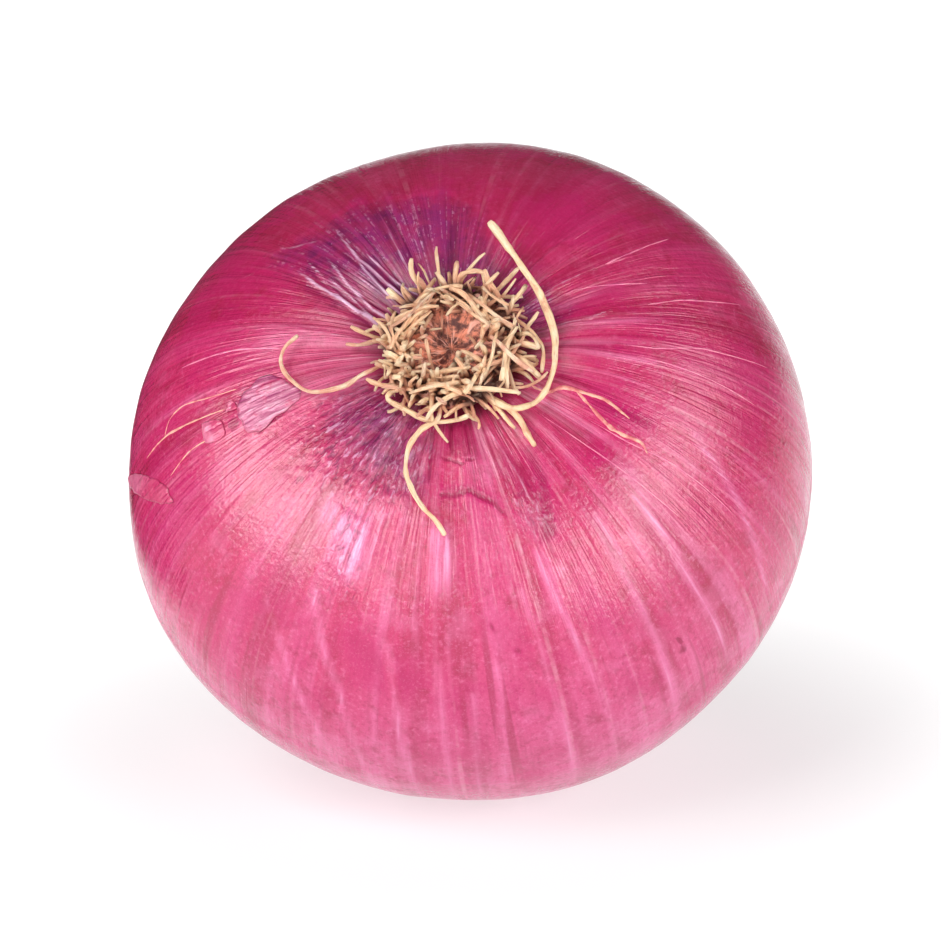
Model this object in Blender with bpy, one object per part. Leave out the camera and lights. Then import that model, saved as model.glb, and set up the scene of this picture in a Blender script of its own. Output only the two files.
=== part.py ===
"""A red onion, dried and clipped, lying with its root end turned up.

Lengths are metres. The onion is shaped about its own axis first: +Z runs from the neck to the root end, and
the origin is the middle of its widest ring. It is then tilted towards -Y and set down, so that the flat spot
under the bulb lies at z = 0, round the origin.
"""

import math
import random

import bmesh
import bpy
from mathutils import Matrix, Vector

MM = 0.001
GAP = 0.35 * MM
GOLDEN_TURN = math.tau * 0.381966

# Bulb: the driving dimensions. The dish is (share of the rim's radius, share of the dish's depth) inwards.
EQUATOR_RADIUS = 40.0 * MM
ROOT_SIDE_HEIGHT = 33.7 * MM
NECK_SIDE_HEIGHT = 35.2 * MM
ROOT_SIDE_FULLNESS = 2.12
NECK_SIDE_FULLNESS = 1.90
DIMPLE_DEPTH = 3.6 * MM
DIMPLE_RADIUS = 11.5 * MM
NECK_RADIUS = 4.4 * MM
NECK_END = 44.5 * MM
NECK_DISH_DEPTH = 2.0 * MM
NECK_DISH = ((0.75, 0.4), (0.4, 1.0), (0.0, 1.0))
NECK_BLEND = 2.3
NECK_FLARE = 8.5 * MM
NECK_FLARE_DEPTH = 32.0 * MM
NECK_FLARE_LENGTH = 5.0 * MM
BULB_SIDES = 60
BULB_RINGS = 40
OUTLINE_SAMPLES = 240

# Bulb: what keeps it from being a perfect turned form. Each lobe is its waves round, its share and its turn.
LOBES = ((2, 0.010, math.radians(25)), (3, 0.006, math.radians(-45)), (5, 0.003, math.radians(70)))
NECK_FOLDS = 7
NECK_FOLD_DEPTH = 0.15
NECK_FOLDS_START = 0.86 * NECK_SIDE_HEIGHT
NECK_TWIST = math.radians(3.2) / MM
PUCKERS = 15
PUCKER_HEIGHT = 0.32 * MM
PUCKER_RADIUS = 13.0 * MM
PUCKER_WIDTH = 4.5 * MM

# How it lies
ROOT_TILT = math.radians(45.8)
FLAT_SPOT_DEPTH = 0.8 * MM

# Root tuft: the corky plate with its hollow crown, and the roots. A foot is the share of the crown's height
# at which a root of its kind starts, inside the plate.
PLATE_RADIUS = 7.4 * MM
PLATE_RIM_HEIGHT = 0.7 * MM
PLATE_CROWN_HEIGHT = 2.3 * MM
PLATE_HOLLOW_HEIGHT = 1.2 * MM
PLATE_HOLLOW_SHARE = 0.22
PLATE_CROWN_SHARE = 0.50
PLATE_SHOULDER_SHARE = 0.78
PLATE_SIDES = 28
ROOT_RADIUS = 0.50 * MM
ROOT_TIP_SHARE = 0.72
ROOT_SUNK = 1.2 * MM
ROOT_STEP = 1.4 * MM
ROUTE_PARTS = 2
ROOT_SEED = 11
SHORT_FOOT, CURLED_FOOT, LONG_FOOT = 0.55, 0.50, 0.45
LONG_FOOT_REACH = 0.72

# Each range is drawn from evenly. Spread is a root's lean along the plate's edge. Curl and droop are per step.
SHORT_ROOTS = 76
SHORT_JITTER = 0.12
SHORT_LENGTHS = (3.2 * MM, 6.0 * MM)
SHORT_PLACES = (0.16, 0.95)
SHORT_OUTWARD = (0.1, 0.9)
SHORT_UPWARD = (0.6, 1.3)
SHORT_SPREAD = 0.8
SHORT_CURL = (0.15, 0.55)
SHORT_DROOP = (0.05, 0.3)
CURLED_ROOTS = 26
CURLED_JITTER = 0.4
CURLED_LENGTHS = (6.0 * MM, 10.0 * MM)
CURLED_PLACES = (0.7, 0.92)
CURLED_UPWARD = (0.1, 0.7)
CURLED_SPREAD = 1.2
CURLED_CURL = (0.1, 0.4)
CURLED_DROOP = (0.1, 0.3)

# The long roots that wander out over the skin: (x, y, height over the skin) along each, in millimetres
LONG_ROOTS = (
    ((3.2, -4.4, 1.8), (5.0, -6.8, 1.8), (8.0, -8.1, 1.6), (10.6, -6.2, 1.5), (11.9, -2.5, 1.5),
     (11.7, 1.3, 1.6), (10.1, 5.7, 2.0), (7.6, 9.6, 2.4), (5.6, 12.6, 2.8), (3.5, 15.0, 3.2)),
    ((-5.4, -1.4, 1.6), (-7.7, -2.8, 1.5), (-10.3, -4.6, 1.5), (-12.9, -6.0, 1.3), (-15.9, -6.0, 1.2),
     (-18.1, -4.3, 1.3), (-19.3, -2.0, 1.4), (-18.9, -0.2, 1.4), (-17.4, 1.1, 1.4)),
    ((-0.6, -6.4, 1.8), (-0.9, -9.5, 1.6), (-2.6, -10.8, 1.2), (-3.8, -12.9, 1.1), (-4.1, -15.3, 1.1),
     (-3.3, -17.5, 1.1), (-1.9, -19.5, 1.0), (-0.3, -21.1, 1.0), (0.7, -22.3, 0.9)),
    ((5.2, -6.5, 1.6), (7.8, -8.5, 1.3), (9.0, -10.2, 1.0), (10.2, -11.9, 0.9)),
    ((5.2, 0.9, 2.0), (7.5, 0.5, 2.0), (10.2, -0.2, 1.6)),
    ((5.7, -0.4, 1.9), (8.1, -1.7, 1.8), (10.5, -3.9, 1.4)),
    ((3.6, 4.4, 1.9), (6.4, 3.7, 1.8), (9.2, 2.0, 1.5), (10.5, -0.5, 1.3), (10.4, -3.3, 1.2)),
    ((-6.6, 0.9, 1.6), (-8.0, 0.6, 1.4), (-10.2, 0.1, 1.2), (-11.9, 0.2, 1.0)),
    ((0.3, 6.4, 1.8), (0.4, 8.6, 1.8), (1.5, 9.2, 1.8), (3.1, 9.0, 1.8), (4.1, 6.7, 1.7)),
    ((5.4, 5.1, 1.8), (4.1, 7.8, 2.0), (3.3, 9.4, 2.1)),
    ((-5.4, -5.4, 1.6), (-6.5, -7.1, 1.5), (-3.2, -8.9, 1.4), (0.0, -9.6, 1.4), (2.7, -8.8, 1.4)),
)

# Dry neck: a plug, outlined in shares of its radius and length, and the papery leaf ends, which bend to lie
# along the surface
PLUG_RADIUS = 3.0 * MM
PLUG_LENGTH = 3.4 * MM
PLUG_OUTLINE = ((0.0, 0.0), (0.5, 0.0), (0.85, 0.65), (0.0, 1.0))
PLUG_SIDES = 12
SHREDS = 9
SHRED_JITTER = 0.2
SHRED_FOOT_RADIUS = 0.45 * PLUG_RADIUS
SHRED_FOOT_DEPTH = 1.1 * MM
SHRED_SEED = 5
SHRED_THICKNESS = 0.7 * MM
SHRED_WIDTHS = (3.0 * MM, 4.8 * MM)
SHRED_TIP_SHARE = 0.35
SHRED_LENGTHS = (7.0 * MM, 13.0 * MM)
SHRED_LEAN = (0.02, 0.30)
SHRED_SWAY = 0.45
SHRED_ARCH = 0.45 * MM
SHRED_STEPS = 5
SHRED_REST_HEIGHTS = (1.3 * MM, 3.6 * MM)
SHRED_CLEARANCE = 0.9 * MM

# Finishes: the colour, linear, and the roughness
SKIN = ((0.60, 0.06, 0.18), 0.38)
ROOT = ((0.52, 0.30, 0.13), 0.75)
PAPER = ((0.55, 0.33, 0.20), 0.70)
SHARP_ANGLE = math.radians(40)


def smooth_step(value, low, high):
    """0 below low, 1 above high and an S between."""
    share = min(1.0, max(0.0, (value - low) / (high - low)))
    return share * share * (3 - 2 * share)


def root_side(turn):
    """(radius, height) of the plain turned bulb: turn 0 is the root pole, a quarter turn its widest ring."""
    power = 2 / ROOT_SIDE_FULLNESS
    radius = EQUATOR_RADIUS * math.sin(turn) ** power
    height = ROOT_SIDE_HEIGHT * max(0.0, math.cos(turn)) ** power
    return radius, height - DIMPLE_DEPTH * math.exp(-((radius / DIMPLE_RADIUS) ** 2))


def neck_side(depth):
    """Radius of the plain turned bulb at a depth below its widest ring, drawn in to the neck."""
    share = min(1.0, depth / NECK_SIDE_HEIGHT)
    bulb = EQUATOR_RADIUS * max(0.0, 1 - share**NECK_SIDE_FULLNESS) ** (1 / NECK_SIDE_FULLNESS)
    flare = NECK_FLARE * math.exp(-(((depth - NECK_FLARE_DEPTH) / NECK_FLARE_LENGTH) ** 2))
    return (bulb**NECK_BLEND + (NECK_RADIUS + flare) ** NECK_BLEND) ** (1 / NECK_BLEND)


def bulb_outline():
    """Many (radius, height) along the plain turned bulb, root pole first."""
    turns = [math.pi / 2 * i / OUTLINE_SAMPLES for i in range(OUTLINE_SAMPLES + 1)]
    depths = [NECK_END * math.sin(turn) for turn in turns]
    return [root_side(turn) for turn in turns[:-1]] + [(neck_side(depth), -depth) for depth in depths]


def spread_evenly(outline, count):
    """Count places along an outline, the same length apart."""
    lengths = [0.0]
    for (r0, z0), (r1, z1) in zip(outline, outline[1:]):
        lengths.append(lengths[-1] + math.hypot(r1 - r0, z1 - z0))
    places, segment = [], 0
    for i in range(count):
        wanted = lengths[-1] * i / (count - 1)
        while segment < len(lengths) - 2 and lengths[segment + 1] < wanted:
            segment += 1
        share = (wanted - lengths[segment]) / (lengths[segment + 1] - lengths[segment])
        (r0, z0), (r1, z1) = outline[segment], outline[segment + 1]
        places.append((r0 + (r1 - r0) * share, z0 + (z1 - z0) * share))
    return places


def grown(point):
    """A point of the plain turned bulb, moved to where the grown one has it: lobed, puckered and folded."""
    radius, angle = math.hypot(point.x, point.y), math.atan2(point.y, point.x)
    swell = sum(share * math.cos(waves * (angle - turn)) for waves, share, turn in LOBES)
    neck = smooth_step(-point.z, NECK_FOLDS_START, NECK_END)
    fold = NECK_FOLD_DEPTH * neck * math.cos(NECK_FOLDS * (angle + NECK_TWIST * point.z))
    scale = (1 + swell * (1 - neck)) * (1 + fold)
    height = point.z
    if height > 0:
        ring = math.exp(-(((radius - PUCKER_RADIUS) / PUCKER_WIDTH) ** 2))
        height += PUCKER_HEIGHT * ring * math.cos(PUCKERS * angle + 2 * math.sin(3 * angle))
    return Vector((point.x * scale, point.y * scale, height))


def skin_height(x, y):
    """Height of the root side's skin over a place near the axis."""
    radius = math.hypot(x, y)
    share = min(1.0, radius / EQUATOR_RADIUS) ** ROOT_SIDE_FULLNESS
    height = ROOT_SIDE_HEIGHT * (1 - share) ** (1 / ROOT_SIDE_FULLNESS)
    height -= DIMPLE_DEPTH * math.exp(-((radius / DIMPLE_RADIUS) ** 2))
    return grown(Vector((x, y, height))).z


def above_skin(point, clearance):
    """The point, lifted where it is nearer the skin than clearance."""
    lowest = skin_height(point.x, point.y) + clearance
    return Vector((point.x, point.y, max(point.z, lowest)))


def lie_down():
    """The turn and shift that set the bulb down, its lowest place FLAT_SPOT_DEPTH under the origin."""
    turn = Matrix.Rotation(ROOT_TILT, 4, "X")
    underside = [turn @ grown(Vector((0, -radius, height))) for radius, height in bulb_outline()]
    lowest = min(underside, key=lambda point: point.z)
    return Matrix.Translation((-lowest.x, -lowest.y, -lowest.z - FLAT_SPOT_DEPTH)) @ turn


def new_object(name, bm, finish):
    """An object named name with the mesh of bm and its own material."""
    colour, roughness = finish
    mesh = bpy.data.meshes.new(name)
    bm.to_mesh(mesh)
    bm.free()
    material = bpy.data.materials.new(name)
    material.use_nodes = True
    shader = material.node_tree.nodes["Principled BSDF"]
    shader.inputs["Base Color"].default_value = (*colour, 1)
    shader.inputs["Roughness"].default_value = roughness
    mesh.materials.append(material)
    mesh.shade_smooth()
    mesh.set_sharp_from_angle(angle=SHARP_ANGLE)
    made = bpy.data.objects.new(name, mesh)
    bpy.context.scene.collection.objects.link(made)
    return made


def spin_profile(profile, sides):
    """A bmesh of a profile of (radius, height), with both ends on the axis, turned into a closed skin."""
    bm = bmesh.new()
    verts = [bm.verts.new((radius, 0, height)) for radius, height in profile]
    edges = [bm.edges.new(pair) for pair in zip(verts, verts[1:])]
    bmesh.ops.spin(
        bm, geom=verts + edges, axis=(0, 0, 1), cent=(0, 0, 0), angle=math.tau, steps=sides, use_merge=True
    )
    bmesh.ops.remove_doubles(bm, verts=bm.verts, dist=1e-6)
    bmesh.ops.recalc_face_normals(bm, faces=bm.faces)
    return bm


def cut_flat_spot(bm):
    """Cuts away what reaches below z = 0, and closes the cut with a flat face."""
    geometry = [*bm.verts, *bm.edges, *bm.faces]
    cut = bmesh.ops.bisect_plane(
        bm, geom=geometry, dist=1e-7, plane_co=(0, 0, 0), plane_no=(0, 0, -1), clear_outer=True
    )
    rims = [part for part in cut["geom_cut"] if isinstance(part, bmesh.types.BMEdge)]
    bmesh.ops.edgeloop_fill(bm, edges=rims)


def make_bulb(placing):
    """The bulb, with a dish at its neck's cut end, lying on its flat spot."""
    rings = spread_evenly(bulb_outline(), BULB_RINGS)
    rim = rings[-1][0]
    dish = [(rim * across, deep * NECK_DISH_DEPTH - NECK_END) for across, deep in NECK_DISH]
    bm = spin_profile([*rings, *dish], BULB_SIDES)
    for vert in bm.verts:
        vert.co = grown(vert.co)
    bmesh.ops.transform(bm, matrix=placing, verts=bm.verts)
    cut_flat_spot(bm)
    return new_object("bulb", bm, SKIN)


def plate_profile():
    """(radius, height) of the basal plate, from the middle of its crown to the middle of its underside."""
    middle, half, rim = (skin_height(PLATE_RADIUS * share, 0) + GAP for share in (0, 0.5, 1))
    return [
        (0.0, middle + PLATE_HOLLOW_HEIGHT),
        (PLATE_HOLLOW_SHARE * PLATE_RADIUS, middle + PLATE_HOLLOW_HEIGHT),
        (PLATE_CROWN_SHARE * PLATE_RADIUS, middle + PLATE_CROWN_HEIGHT),
        (PLATE_SHOULDER_SHARE * PLATE_RADIUS, middle + 0.8 * PLATE_CROWN_HEIGHT),
        (PLATE_RADIUS, rim + PLATE_RIM_HEIGHT),
        (PLATE_RADIUS, rim),
        (0.5 * PLATE_RADIUS, half),
        (0.0, middle),
    ]


def root_tube(name, points):
    """A closed four-sided tube along points, thinned towards its tip."""
    curve = bpy.data.curves.new(name, "CURVE")
    curve.dimensions = "3D"
    curve.bevel_depth = ROOT_RADIUS
    curve.bevel_resolution = 0
    curve.use_fill_caps = True
    spline = curve.splines.new("POLY")
    spline.points.add(len(points) - 1)
    for place, point in enumerate(points):
        spline.points[place].co = (*point, 1)
        spline.points[place].radius = 1 - (1 - ROOT_TIP_SHARE) * place / (len(points) - 1)
    guide = bpy.data.objects.new(name, curve)
    bpy.context.scene.collection.objects.link(guide)
    mesh = bpy.data.meshes.new_from_object(guide.evaluated_get(bpy.context.evaluated_depsgraph_get()))
    bpy.data.objects.remove(guide)
    bm = bmesh.new()
    bm.from_mesh(mesh)
    bmesh.ops.remove_doubles(bm, verts=bm.verts, dist=1e-6)
    bmesh.ops.recalc_face_normals(bm, faces=bm.faces)
    bm.to_mesh(mesh)
    bm.free()
    return bpy.data.objects.new(name, mesh)


def in_plate(radius, angle, share):
    """A place in the plate, at a share of its crown's height, and the way out from the axis there."""
    out = Vector((math.cos(angle), math.sin(angle), 0))
    height = skin_height(0, 0) + GAP + share * PLATE_CROWN_HEIGHT
    return out * radius + Vector((0, 0, height)), out


def grow_root(draw, base, heading, length, curl, droop):
    """Points of one root from its base in the plate: it curls and droops, and stays above the skin."""
    heading = heading.normalized()
    sway = Vector([draw.gauss(0, 1) for _ in range(3)])
    steps = max(3, round(length / ROOT_STEP))
    points = [above_skin(base - heading * ROOT_SUNK, ROOT_RADIUS + GAP), base]
    for _ in range(steps):
        across = heading.cross(sway).normalized()
        heading = (heading + curl * across + droop * Vector((0, 0, -1))).normalized()
        points.append(above_skin(points[-1] + heading * (length / steps), ROOT_RADIUS + GAP))
    return points


def short_roots(draw):
    """Clipped roots all over the plate, short and bent every way."""
    for i in range(SHORT_ROOTS):
        angle = GOLDEN_TURN * i + draw.uniform(-SHORT_JITTER, SHORT_JITTER)
        base, out = in_plate(PLATE_RADIUS * math.sqrt(draw.uniform(*SHORT_PLACES)), angle, SHORT_FOOT)
        along = Vector((-out.y, out.x, 0))
        heading = out * draw.uniform(*SHORT_OUTWARD) + Vector((0, 0, draw.uniform(*SHORT_UPWARD)))
        heading += along * draw.uniform(-SHORT_SPREAD, SHORT_SPREAD)
        length = draw.uniform(*SHORT_LENGTHS)
        yield grow_root(draw, base, heading, length, draw.uniform(*SHORT_CURL), draw.uniform(*SHORT_DROOP))


def curled_roots(draw):
    """Longer roots that leave the plate's edge and curl over the skin round it."""
    for i in range(CURLED_ROOTS):
        angle = math.tau * (i + draw.uniform(-CURLED_JITTER, CURLED_JITTER)) / CURLED_ROOTS
        base, out = in_plate(PLATE_RADIUS * draw.uniform(*CURLED_PLACES), angle, CURLED_FOOT)
        along = Vector((-out.y, out.x, 0))
        heading = out + Vector((0, 0, draw.uniform(*CURLED_UPWARD)))
        heading += along * draw.uniform(-CURLED_SPREAD, CURLED_SPREAD)
        length = draw.uniform(*CURLED_LENGTHS)
        yield grow_root(draw, base, heading, length, draw.uniform(*CURLED_CURL), draw.uniform(*CURLED_DROOP))


def smooth_route(points, parts):
    """Points along the smooth curve through these ones, with so many parts between each two."""
    padded = [points[0], *points, points[-1]]
    smooth = []
    for before, here, after, beyond in zip(padded, padded[1:], padded[2:], padded[3:]):
        for part in range(parts):
            t = part / parts
            smooth.append(
                here
                + (after - before) * (t / 2)
                + (2 * before - 5 * here + 4 * after - beyond) * (t**2 / 2)
                + (3 * here - before - 3 * after + beyond) * (t**3 / 2)
            )
    return [*smooth, points[-1]]


def long_roots():
    """The long roots' points, each with one more at its start that is sunk into the plate."""
    for route in LONG_ROOTS:
        points = []
        for x, y, lift in route:
            points.append(Vector((x * MM, y * MM, skin_height(x * MM, y * MM) + lift * MM)))
        start = points[0]
        reach = min(LONG_FOOT_REACH * start.xy.length, PLATE_SHOULDER_SHARE * PLATE_RADIUS)
        inside, _ = in_plate(reach, math.atan2(start.y, start.x), LONG_FOOT)
        route = smooth_route([inside, *points], ROUTE_PARTS)
        yield [above_skin(point, ROOT_RADIUS + GAP) for point in route]


def islands(bm):
    """The faces of bm, as lists of those that hang together."""
    found, seen = [], set()
    for first in bm.faces:
        if first in seen:
            continue
        seen.add(first)
        island = [first]
        for face in island:
            beside = {other for edge in face.edges for other in edge.link_faces} - seen
            seen |= beside
            island.extend(beside)
        found.append(island)
    return found


def fill_hollows(mesh):
    """Keeps the largest island of faces, the outer skin: fusing may seal hollows between crossing pieces."""
    bm = bmesh.new()
    bm.from_mesh(mesh)
    for island in sorted(islands(bm), key=len)[:-1]:
        bmesh.ops.delete(bm, geom=island, context="FACES")
    bm.to_mesh(mesh)
    bm.free()


def join_all(base, pieces):
    """Fuses the loose pieces into base, then removes them."""
    group = bpy.data.collections.new(base.name + "_pieces")
    bpy.context.scene.collection.children.link(group)
    for piece in pieces:
        group.objects.link(piece)
    union = base.modifiers.new("union", "BOOLEAN")
    union.operation = "UNION"
    union.solver = "MANIFOLD"
    union.operand_type = "COLLECTION"
    union.collection = group
    with bpy.context.temp_override(object=base, active_object=base, selected_objects=[base]):
        bpy.ops.object.modifier_apply(modifier=union.name)
    for piece in pieces:
        bpy.data.objects.remove(piece)
    bpy.data.collections.remove(group)
    fill_hollows(base.data)


def make_root_tuft(placing):
    """The basal plate in the dimple, with every root fused to it."""
    draw = random.Random(ROOT_SEED)
    plate = new_object("root_tuft", spin_profile(plate_profile(), PLATE_SIDES), ROOT)
    routes = [*short_roots(draw), *curled_roots(draw), *long_roots()]
    join_all(plate, [root_tube(f"root_{number}", route) for number, route in enumerate(routes)])
    plate.data.transform(placing)
    return plate


def shred_rows(draw, place, heading, side):
    """(place, across, up) of each step along a shred, which comes down to its own height and lies flat."""
    step = draw.uniform(*SHRED_LENGTHS) / SHRED_STEPS
    rest_height = draw.uniform(*SHRED_REST_HEIGHTS)
    sway = side * draw.uniform(-SHRED_SWAY, SHRED_SWAY) / SHRED_STEPS
    for number in range(SHRED_STEPS + 1):
        share = number / SHRED_STEPS
        level = Vector((heading.y, -heading.x, 0)).normalized()
        if level.dot(side) < 0:
            level.negate()
        across = side.lerp(level, share)
        across = (across - heading * across.dot(heading)).normalized()
        yield place, across, across.cross(heading)
        heading = heading + sway
        heading.z = max(heading.z, (rest_height - place.z) / step)
        heading.normalize()
        place = place + heading * step


def make_shred(draw, name, place, heading, side):
    """One papery shred: a strip along its rows, arched across, narrowed to its tip and then thickened."""
    rows = list(shred_rows(draw, place, heading, side))
    width = draw.uniform(*SHRED_WIDTHS)
    bm = bmesh.new()
    bmesh.ops.create_grid(bm, x_segments=2, y_segments=SHRED_STEPS, size=1.0)
    for vert in bm.verts:
        row = round((vert.co.y + 1) / 2 * SHRED_STEPS)
        place, across, up = rows[row]
        half = width / 2 * (1 - (1 - SHRED_TIP_SHARE) * (row / SHRED_STEPS) ** 2)
        arch = SHRED_ARCH * (1 - vert.co.x**2)
        vert.co = place + across * vert.co.x * half + up * arch
        vert.co.z = max(vert.co.z, SHRED_CLEARANCE)
    bmesh.ops.triangulate(bm, faces=bm.faces)
    bmesh.ops.solidify(bm, geom=bm.faces[:], thickness=SHRED_THICKNESS)
    bmesh.ops.recalc_face_normals(bm, faces=bm.faces)
    mesh = bpy.data.meshes.new(name)
    bm.to_mesh(mesh)
    bm.free()
    return bpy.data.objects.new(name, mesh)


def make_dry_neck(placing):
    """The dried leaf ends: a plug in the neck's dish, and papery shreds that bend along the surface."""
    draw = random.Random(SHRED_SEED)
    top = -NECK_END + NECK_DISH_DEPTH - GAP
    profile = [(across * PLUG_RADIUS, top - down * PLUG_LENGTH) for across, down in PLUG_OUTLINE]
    bm = spin_profile(profile, PLUG_SIDES)
    bmesh.ops.transform(bm, matrix=placing, verts=bm.verts)
    plug = new_object("dry_neck", bm, PAPER)
    turn = placing.to_3x3()
    shreds = []
    for number in range(SHREDS):
        angle = math.tau * (number + draw.uniform(-SHRED_JITTER, SHRED_JITTER)) / SHREDS
        out = Vector((math.cos(angle), math.sin(angle), 0))
        side = Vector((-out.y, out.x, 0))
        foot = out * SHRED_FOOT_RADIUS + Vector((0, 0, top - SHRED_FOOT_DEPTH))
        heading = (Vector((0, 0, -1)) + out * draw.uniform(*SHRED_LEAN)).normalized()
        shreds.append(make_shred(draw, f"shred_{number}", placing @ foot, turn @ heading, turn @ side))
    join_all(plug, shreds)
    return plug


def main():
    for old in list(bpy.data.objects):
        bpy.data.objects.remove(old)
    placing = lie_down()
    make_bulb(placing)
    make_root_tuft(placing)
    make_dry_neck(placing)


main()
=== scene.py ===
"""The looks of a red onion that lies with its root end turned up.

Lengths are metres unless a name or a comment says otherwise. The onion is shaped about its own axis
first: +Z runs from the neck to the root end, and the origin is the middle of its widest ring. A mark on
the skin is placed by its angle round the axis, in degrees, and its reach, the millimetres along the skin
from the root pole.
"""

import bisect
import functools
import itertools
import math
import random

import bmesh
import bpy
from mathutils import Matrix, Vector, noise
from mathutils.geometry import intersect_point_line


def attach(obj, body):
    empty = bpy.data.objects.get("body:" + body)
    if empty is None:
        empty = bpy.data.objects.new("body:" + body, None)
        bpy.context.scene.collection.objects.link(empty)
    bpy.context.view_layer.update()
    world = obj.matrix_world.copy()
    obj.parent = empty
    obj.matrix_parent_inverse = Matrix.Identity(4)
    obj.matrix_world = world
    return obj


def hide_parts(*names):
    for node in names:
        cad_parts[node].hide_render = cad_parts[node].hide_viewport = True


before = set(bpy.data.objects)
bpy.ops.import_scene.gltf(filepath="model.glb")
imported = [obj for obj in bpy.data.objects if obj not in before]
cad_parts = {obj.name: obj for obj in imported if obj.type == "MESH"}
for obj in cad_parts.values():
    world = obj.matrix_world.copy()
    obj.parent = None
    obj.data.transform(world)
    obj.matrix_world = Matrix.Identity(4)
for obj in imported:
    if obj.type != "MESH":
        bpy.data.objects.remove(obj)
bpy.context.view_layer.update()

MM = 0.001
GAP = 0.35 * MM
GOLDEN_TURN = math.tau * 0.381966

# The bulb's form, as the solid has it
EQUATOR_RADIUS = 40.0 * MM
ROOT_SIDE_HEIGHT = 33.7 * MM
NECK_SIDE_HEIGHT = 35.2 * MM
ROOT_SIDE_FULLNESS = 2.12
NECK_SIDE_FULLNESS = 1.90
DIMPLE_DEPTH = 3.6 * MM
DIMPLE_RADIUS = 11.5 * MM
NECK_RADIUS = 4.4 * MM
NECK_END = 44.5 * MM
NECK_DISH_DEPTH = 2.0 * MM
NECK_DISH = ((0.9, 0.12), (0.75, 0.4), (0.6, 0.75), (0.4, 1.0), (0.2, 1.0), (0.0, 1.0))
NECK_BLEND = 2.3
NECK_FLARE = 8.5 * MM
NECK_FLARE_DEPTH = 32.0 * MM
NECK_FLARE_LENGTH = 5.0 * MM
OUTLINE_SAMPLES = 240
LOBES = ((2, 0.010, math.radians(25)), (3, 0.006, math.radians(-45)), (5, 0.003, math.radians(70)))
NECK_FOLDS = 7
NECK_FOLD_DEPTH = 0.15
NECK_FOLDS_START = 0.86 * NECK_SIDE_HEIGHT
NECK_TWIST = math.radians(3.2) / MM
PUCKERS = 15
PUCKER_HEIGHT = 0.32 * MM
PUCKER_RADIUS = 13.0 * MM
PUCKER_WIDTH = 4.5 * MM
PUCKER_SWAY, PUCKER_SWAYS = 2, 3
ROOT_TILT = math.radians(45.8)
FLAT_SPOT_DEPTH = 0.8 * MM

# The fine skin. Each noise round the axis has a count, how fast it changes along the skin, and a seed.
# Reaches and the edges of zones are in millimetres.
SKIN_SIDES = 480
FINE_RINGS = 95
FINE_REACH = 30.0 * MM
COARSE_RINGS = 104
RELIEF_STARTS = (7.0, 10.0)
RELIEF_END = 2 * MM
DENT_HEIGHT = 0.20 * MM
DENT_SIZE = 17 * MM
RIB_HEIGHT = 0.07 * MM
RIB_NOISE = (11.0, 0.02, 3)
TUFT_FOLD_HEIGHT = 0.22 * MM
TUFT_FOLD_NOISE = (7.0, 0.04, 8)
TUFT_FOLD_REACH = 15.0
TUFT_FOLD_WIDTH = 7.0
PLEAT_HEIGHT = 0.17 * MM
PLEAT_NOISE = (11.0, 0.05, 21)
PLEAT_SHARPNESS = 2.2
PLEAT_REACH = 10.5
PLEAT_WIDTH = 6.0
LAYER_STEP = 0.16 * MM
LAYER_EDGE = (-0.3, 0.3)
CRUMPLE_HEIGHT = 0.10 * MM
CRUMPLE_SIZE = 1.5 * MM
CRUMPLE_EDGE = (-1.5, 2.5)
NECK_CREASE_HEIGHT = 0.45 * MM
NECK_CREASE_NOISE = (4.5, 0.05, 15)
NECK_CREASE_SHARPNESS = 2.5
NECK_CREASE_REACHES = (84.0, 108.0)

# Marks are looked up on a flat map round the root pole, in millimetres: how far out it holds zones, the
# depth that counts as well inside or well outside one, and how many half widths a mark spreads
MAP_REACH = 36.0
FULL_DEPTH = 6.0
MARK_SPREAD = 4.0

# Outlines on the skin, each place as (angle, reach). Where the outer layer is torn away the purple one
# shows.
BARED_ZONES = (
    ((166, 8.5), (162, 12), (157, 17), (153, 22), (148, 28), (141, 27), (131, 25.6), (121, 26), (109, 23.4),
     (96, 23), (85, 19.7), (75, 15), (62, 14), (42, 13.7), (25, 14.5), (10, 12.5), (0, 8)),
    ((-150, 7), (-156, 11), (-154, 15), (-146, 17), (-133, 17), (-121, 18), (-108, 18.8), (-98, 18.5),
     (-95, 15), (-102, 9)),
)
WRINKLED_ZONES = (
    ((-156, 9), (-158, 16), (-146, 21), (-128, 22.5), (-112, 22.5), (-98, 20), (-96, 9)),
    ((-68, 19), (-56, 19), (-58, 24), (-64, 24)),
    ((-124, 22), (-110, 21.5), (-109, 32), (-115, 32), (-119, 28)),
    ((-172, 20), (-158, 19), (-156, 25), (-170, 26)),
)
CRACKED_ZONES = (
    ((-100, 9.4), (-96, 14), (-70, 14.5), (-64, 10)),
    ((-69, 11.7), (-66, 18), (-64, 23), (-61, 28), (-57, 21), (-56, 17), (-66, 11.7)),
)

# Root tuft, as the solid has it
PLATE_RADIUS = 7.4 * MM
PLATE_RIM_HEIGHT = 0.7 * MM
PLATE_CROWN_HEIGHT = 2.3 * MM
PLATE_HOLLOW_HEIGHT = 1.2 * MM
PLATE_HOLLOW_SHARE = 0.22
PLATE_CROWN_SHARE = 0.50
PLATE_SHOULDER_SHARE = 0.78
ROOT_RADIUS = 0.50 * MM
ROOT_SUNK = 1.2 * MM
ROOT_STEP = 1.4 * MM
ROOT_SEED = 11
SHORT_FOOT, CURLED_FOOT, LONG_FOOT = 0.55, 0.50, 0.45
LONG_FOOT_REACH = 0.72
SHORT_ROOTS = 76
SHORT_JITTER = 0.12
SHORT_LENGTHS = (3.2 * MM, 6.0 * MM)
SHORT_PLACES = (0.16, 0.95)
SHORT_OUTWARD = (0.1, 0.9)
SHORT_UPWARD = (0.6, 1.3)
SHORT_SPREAD = 0.8
SHORT_CURL = (0.15, 0.55)
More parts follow.
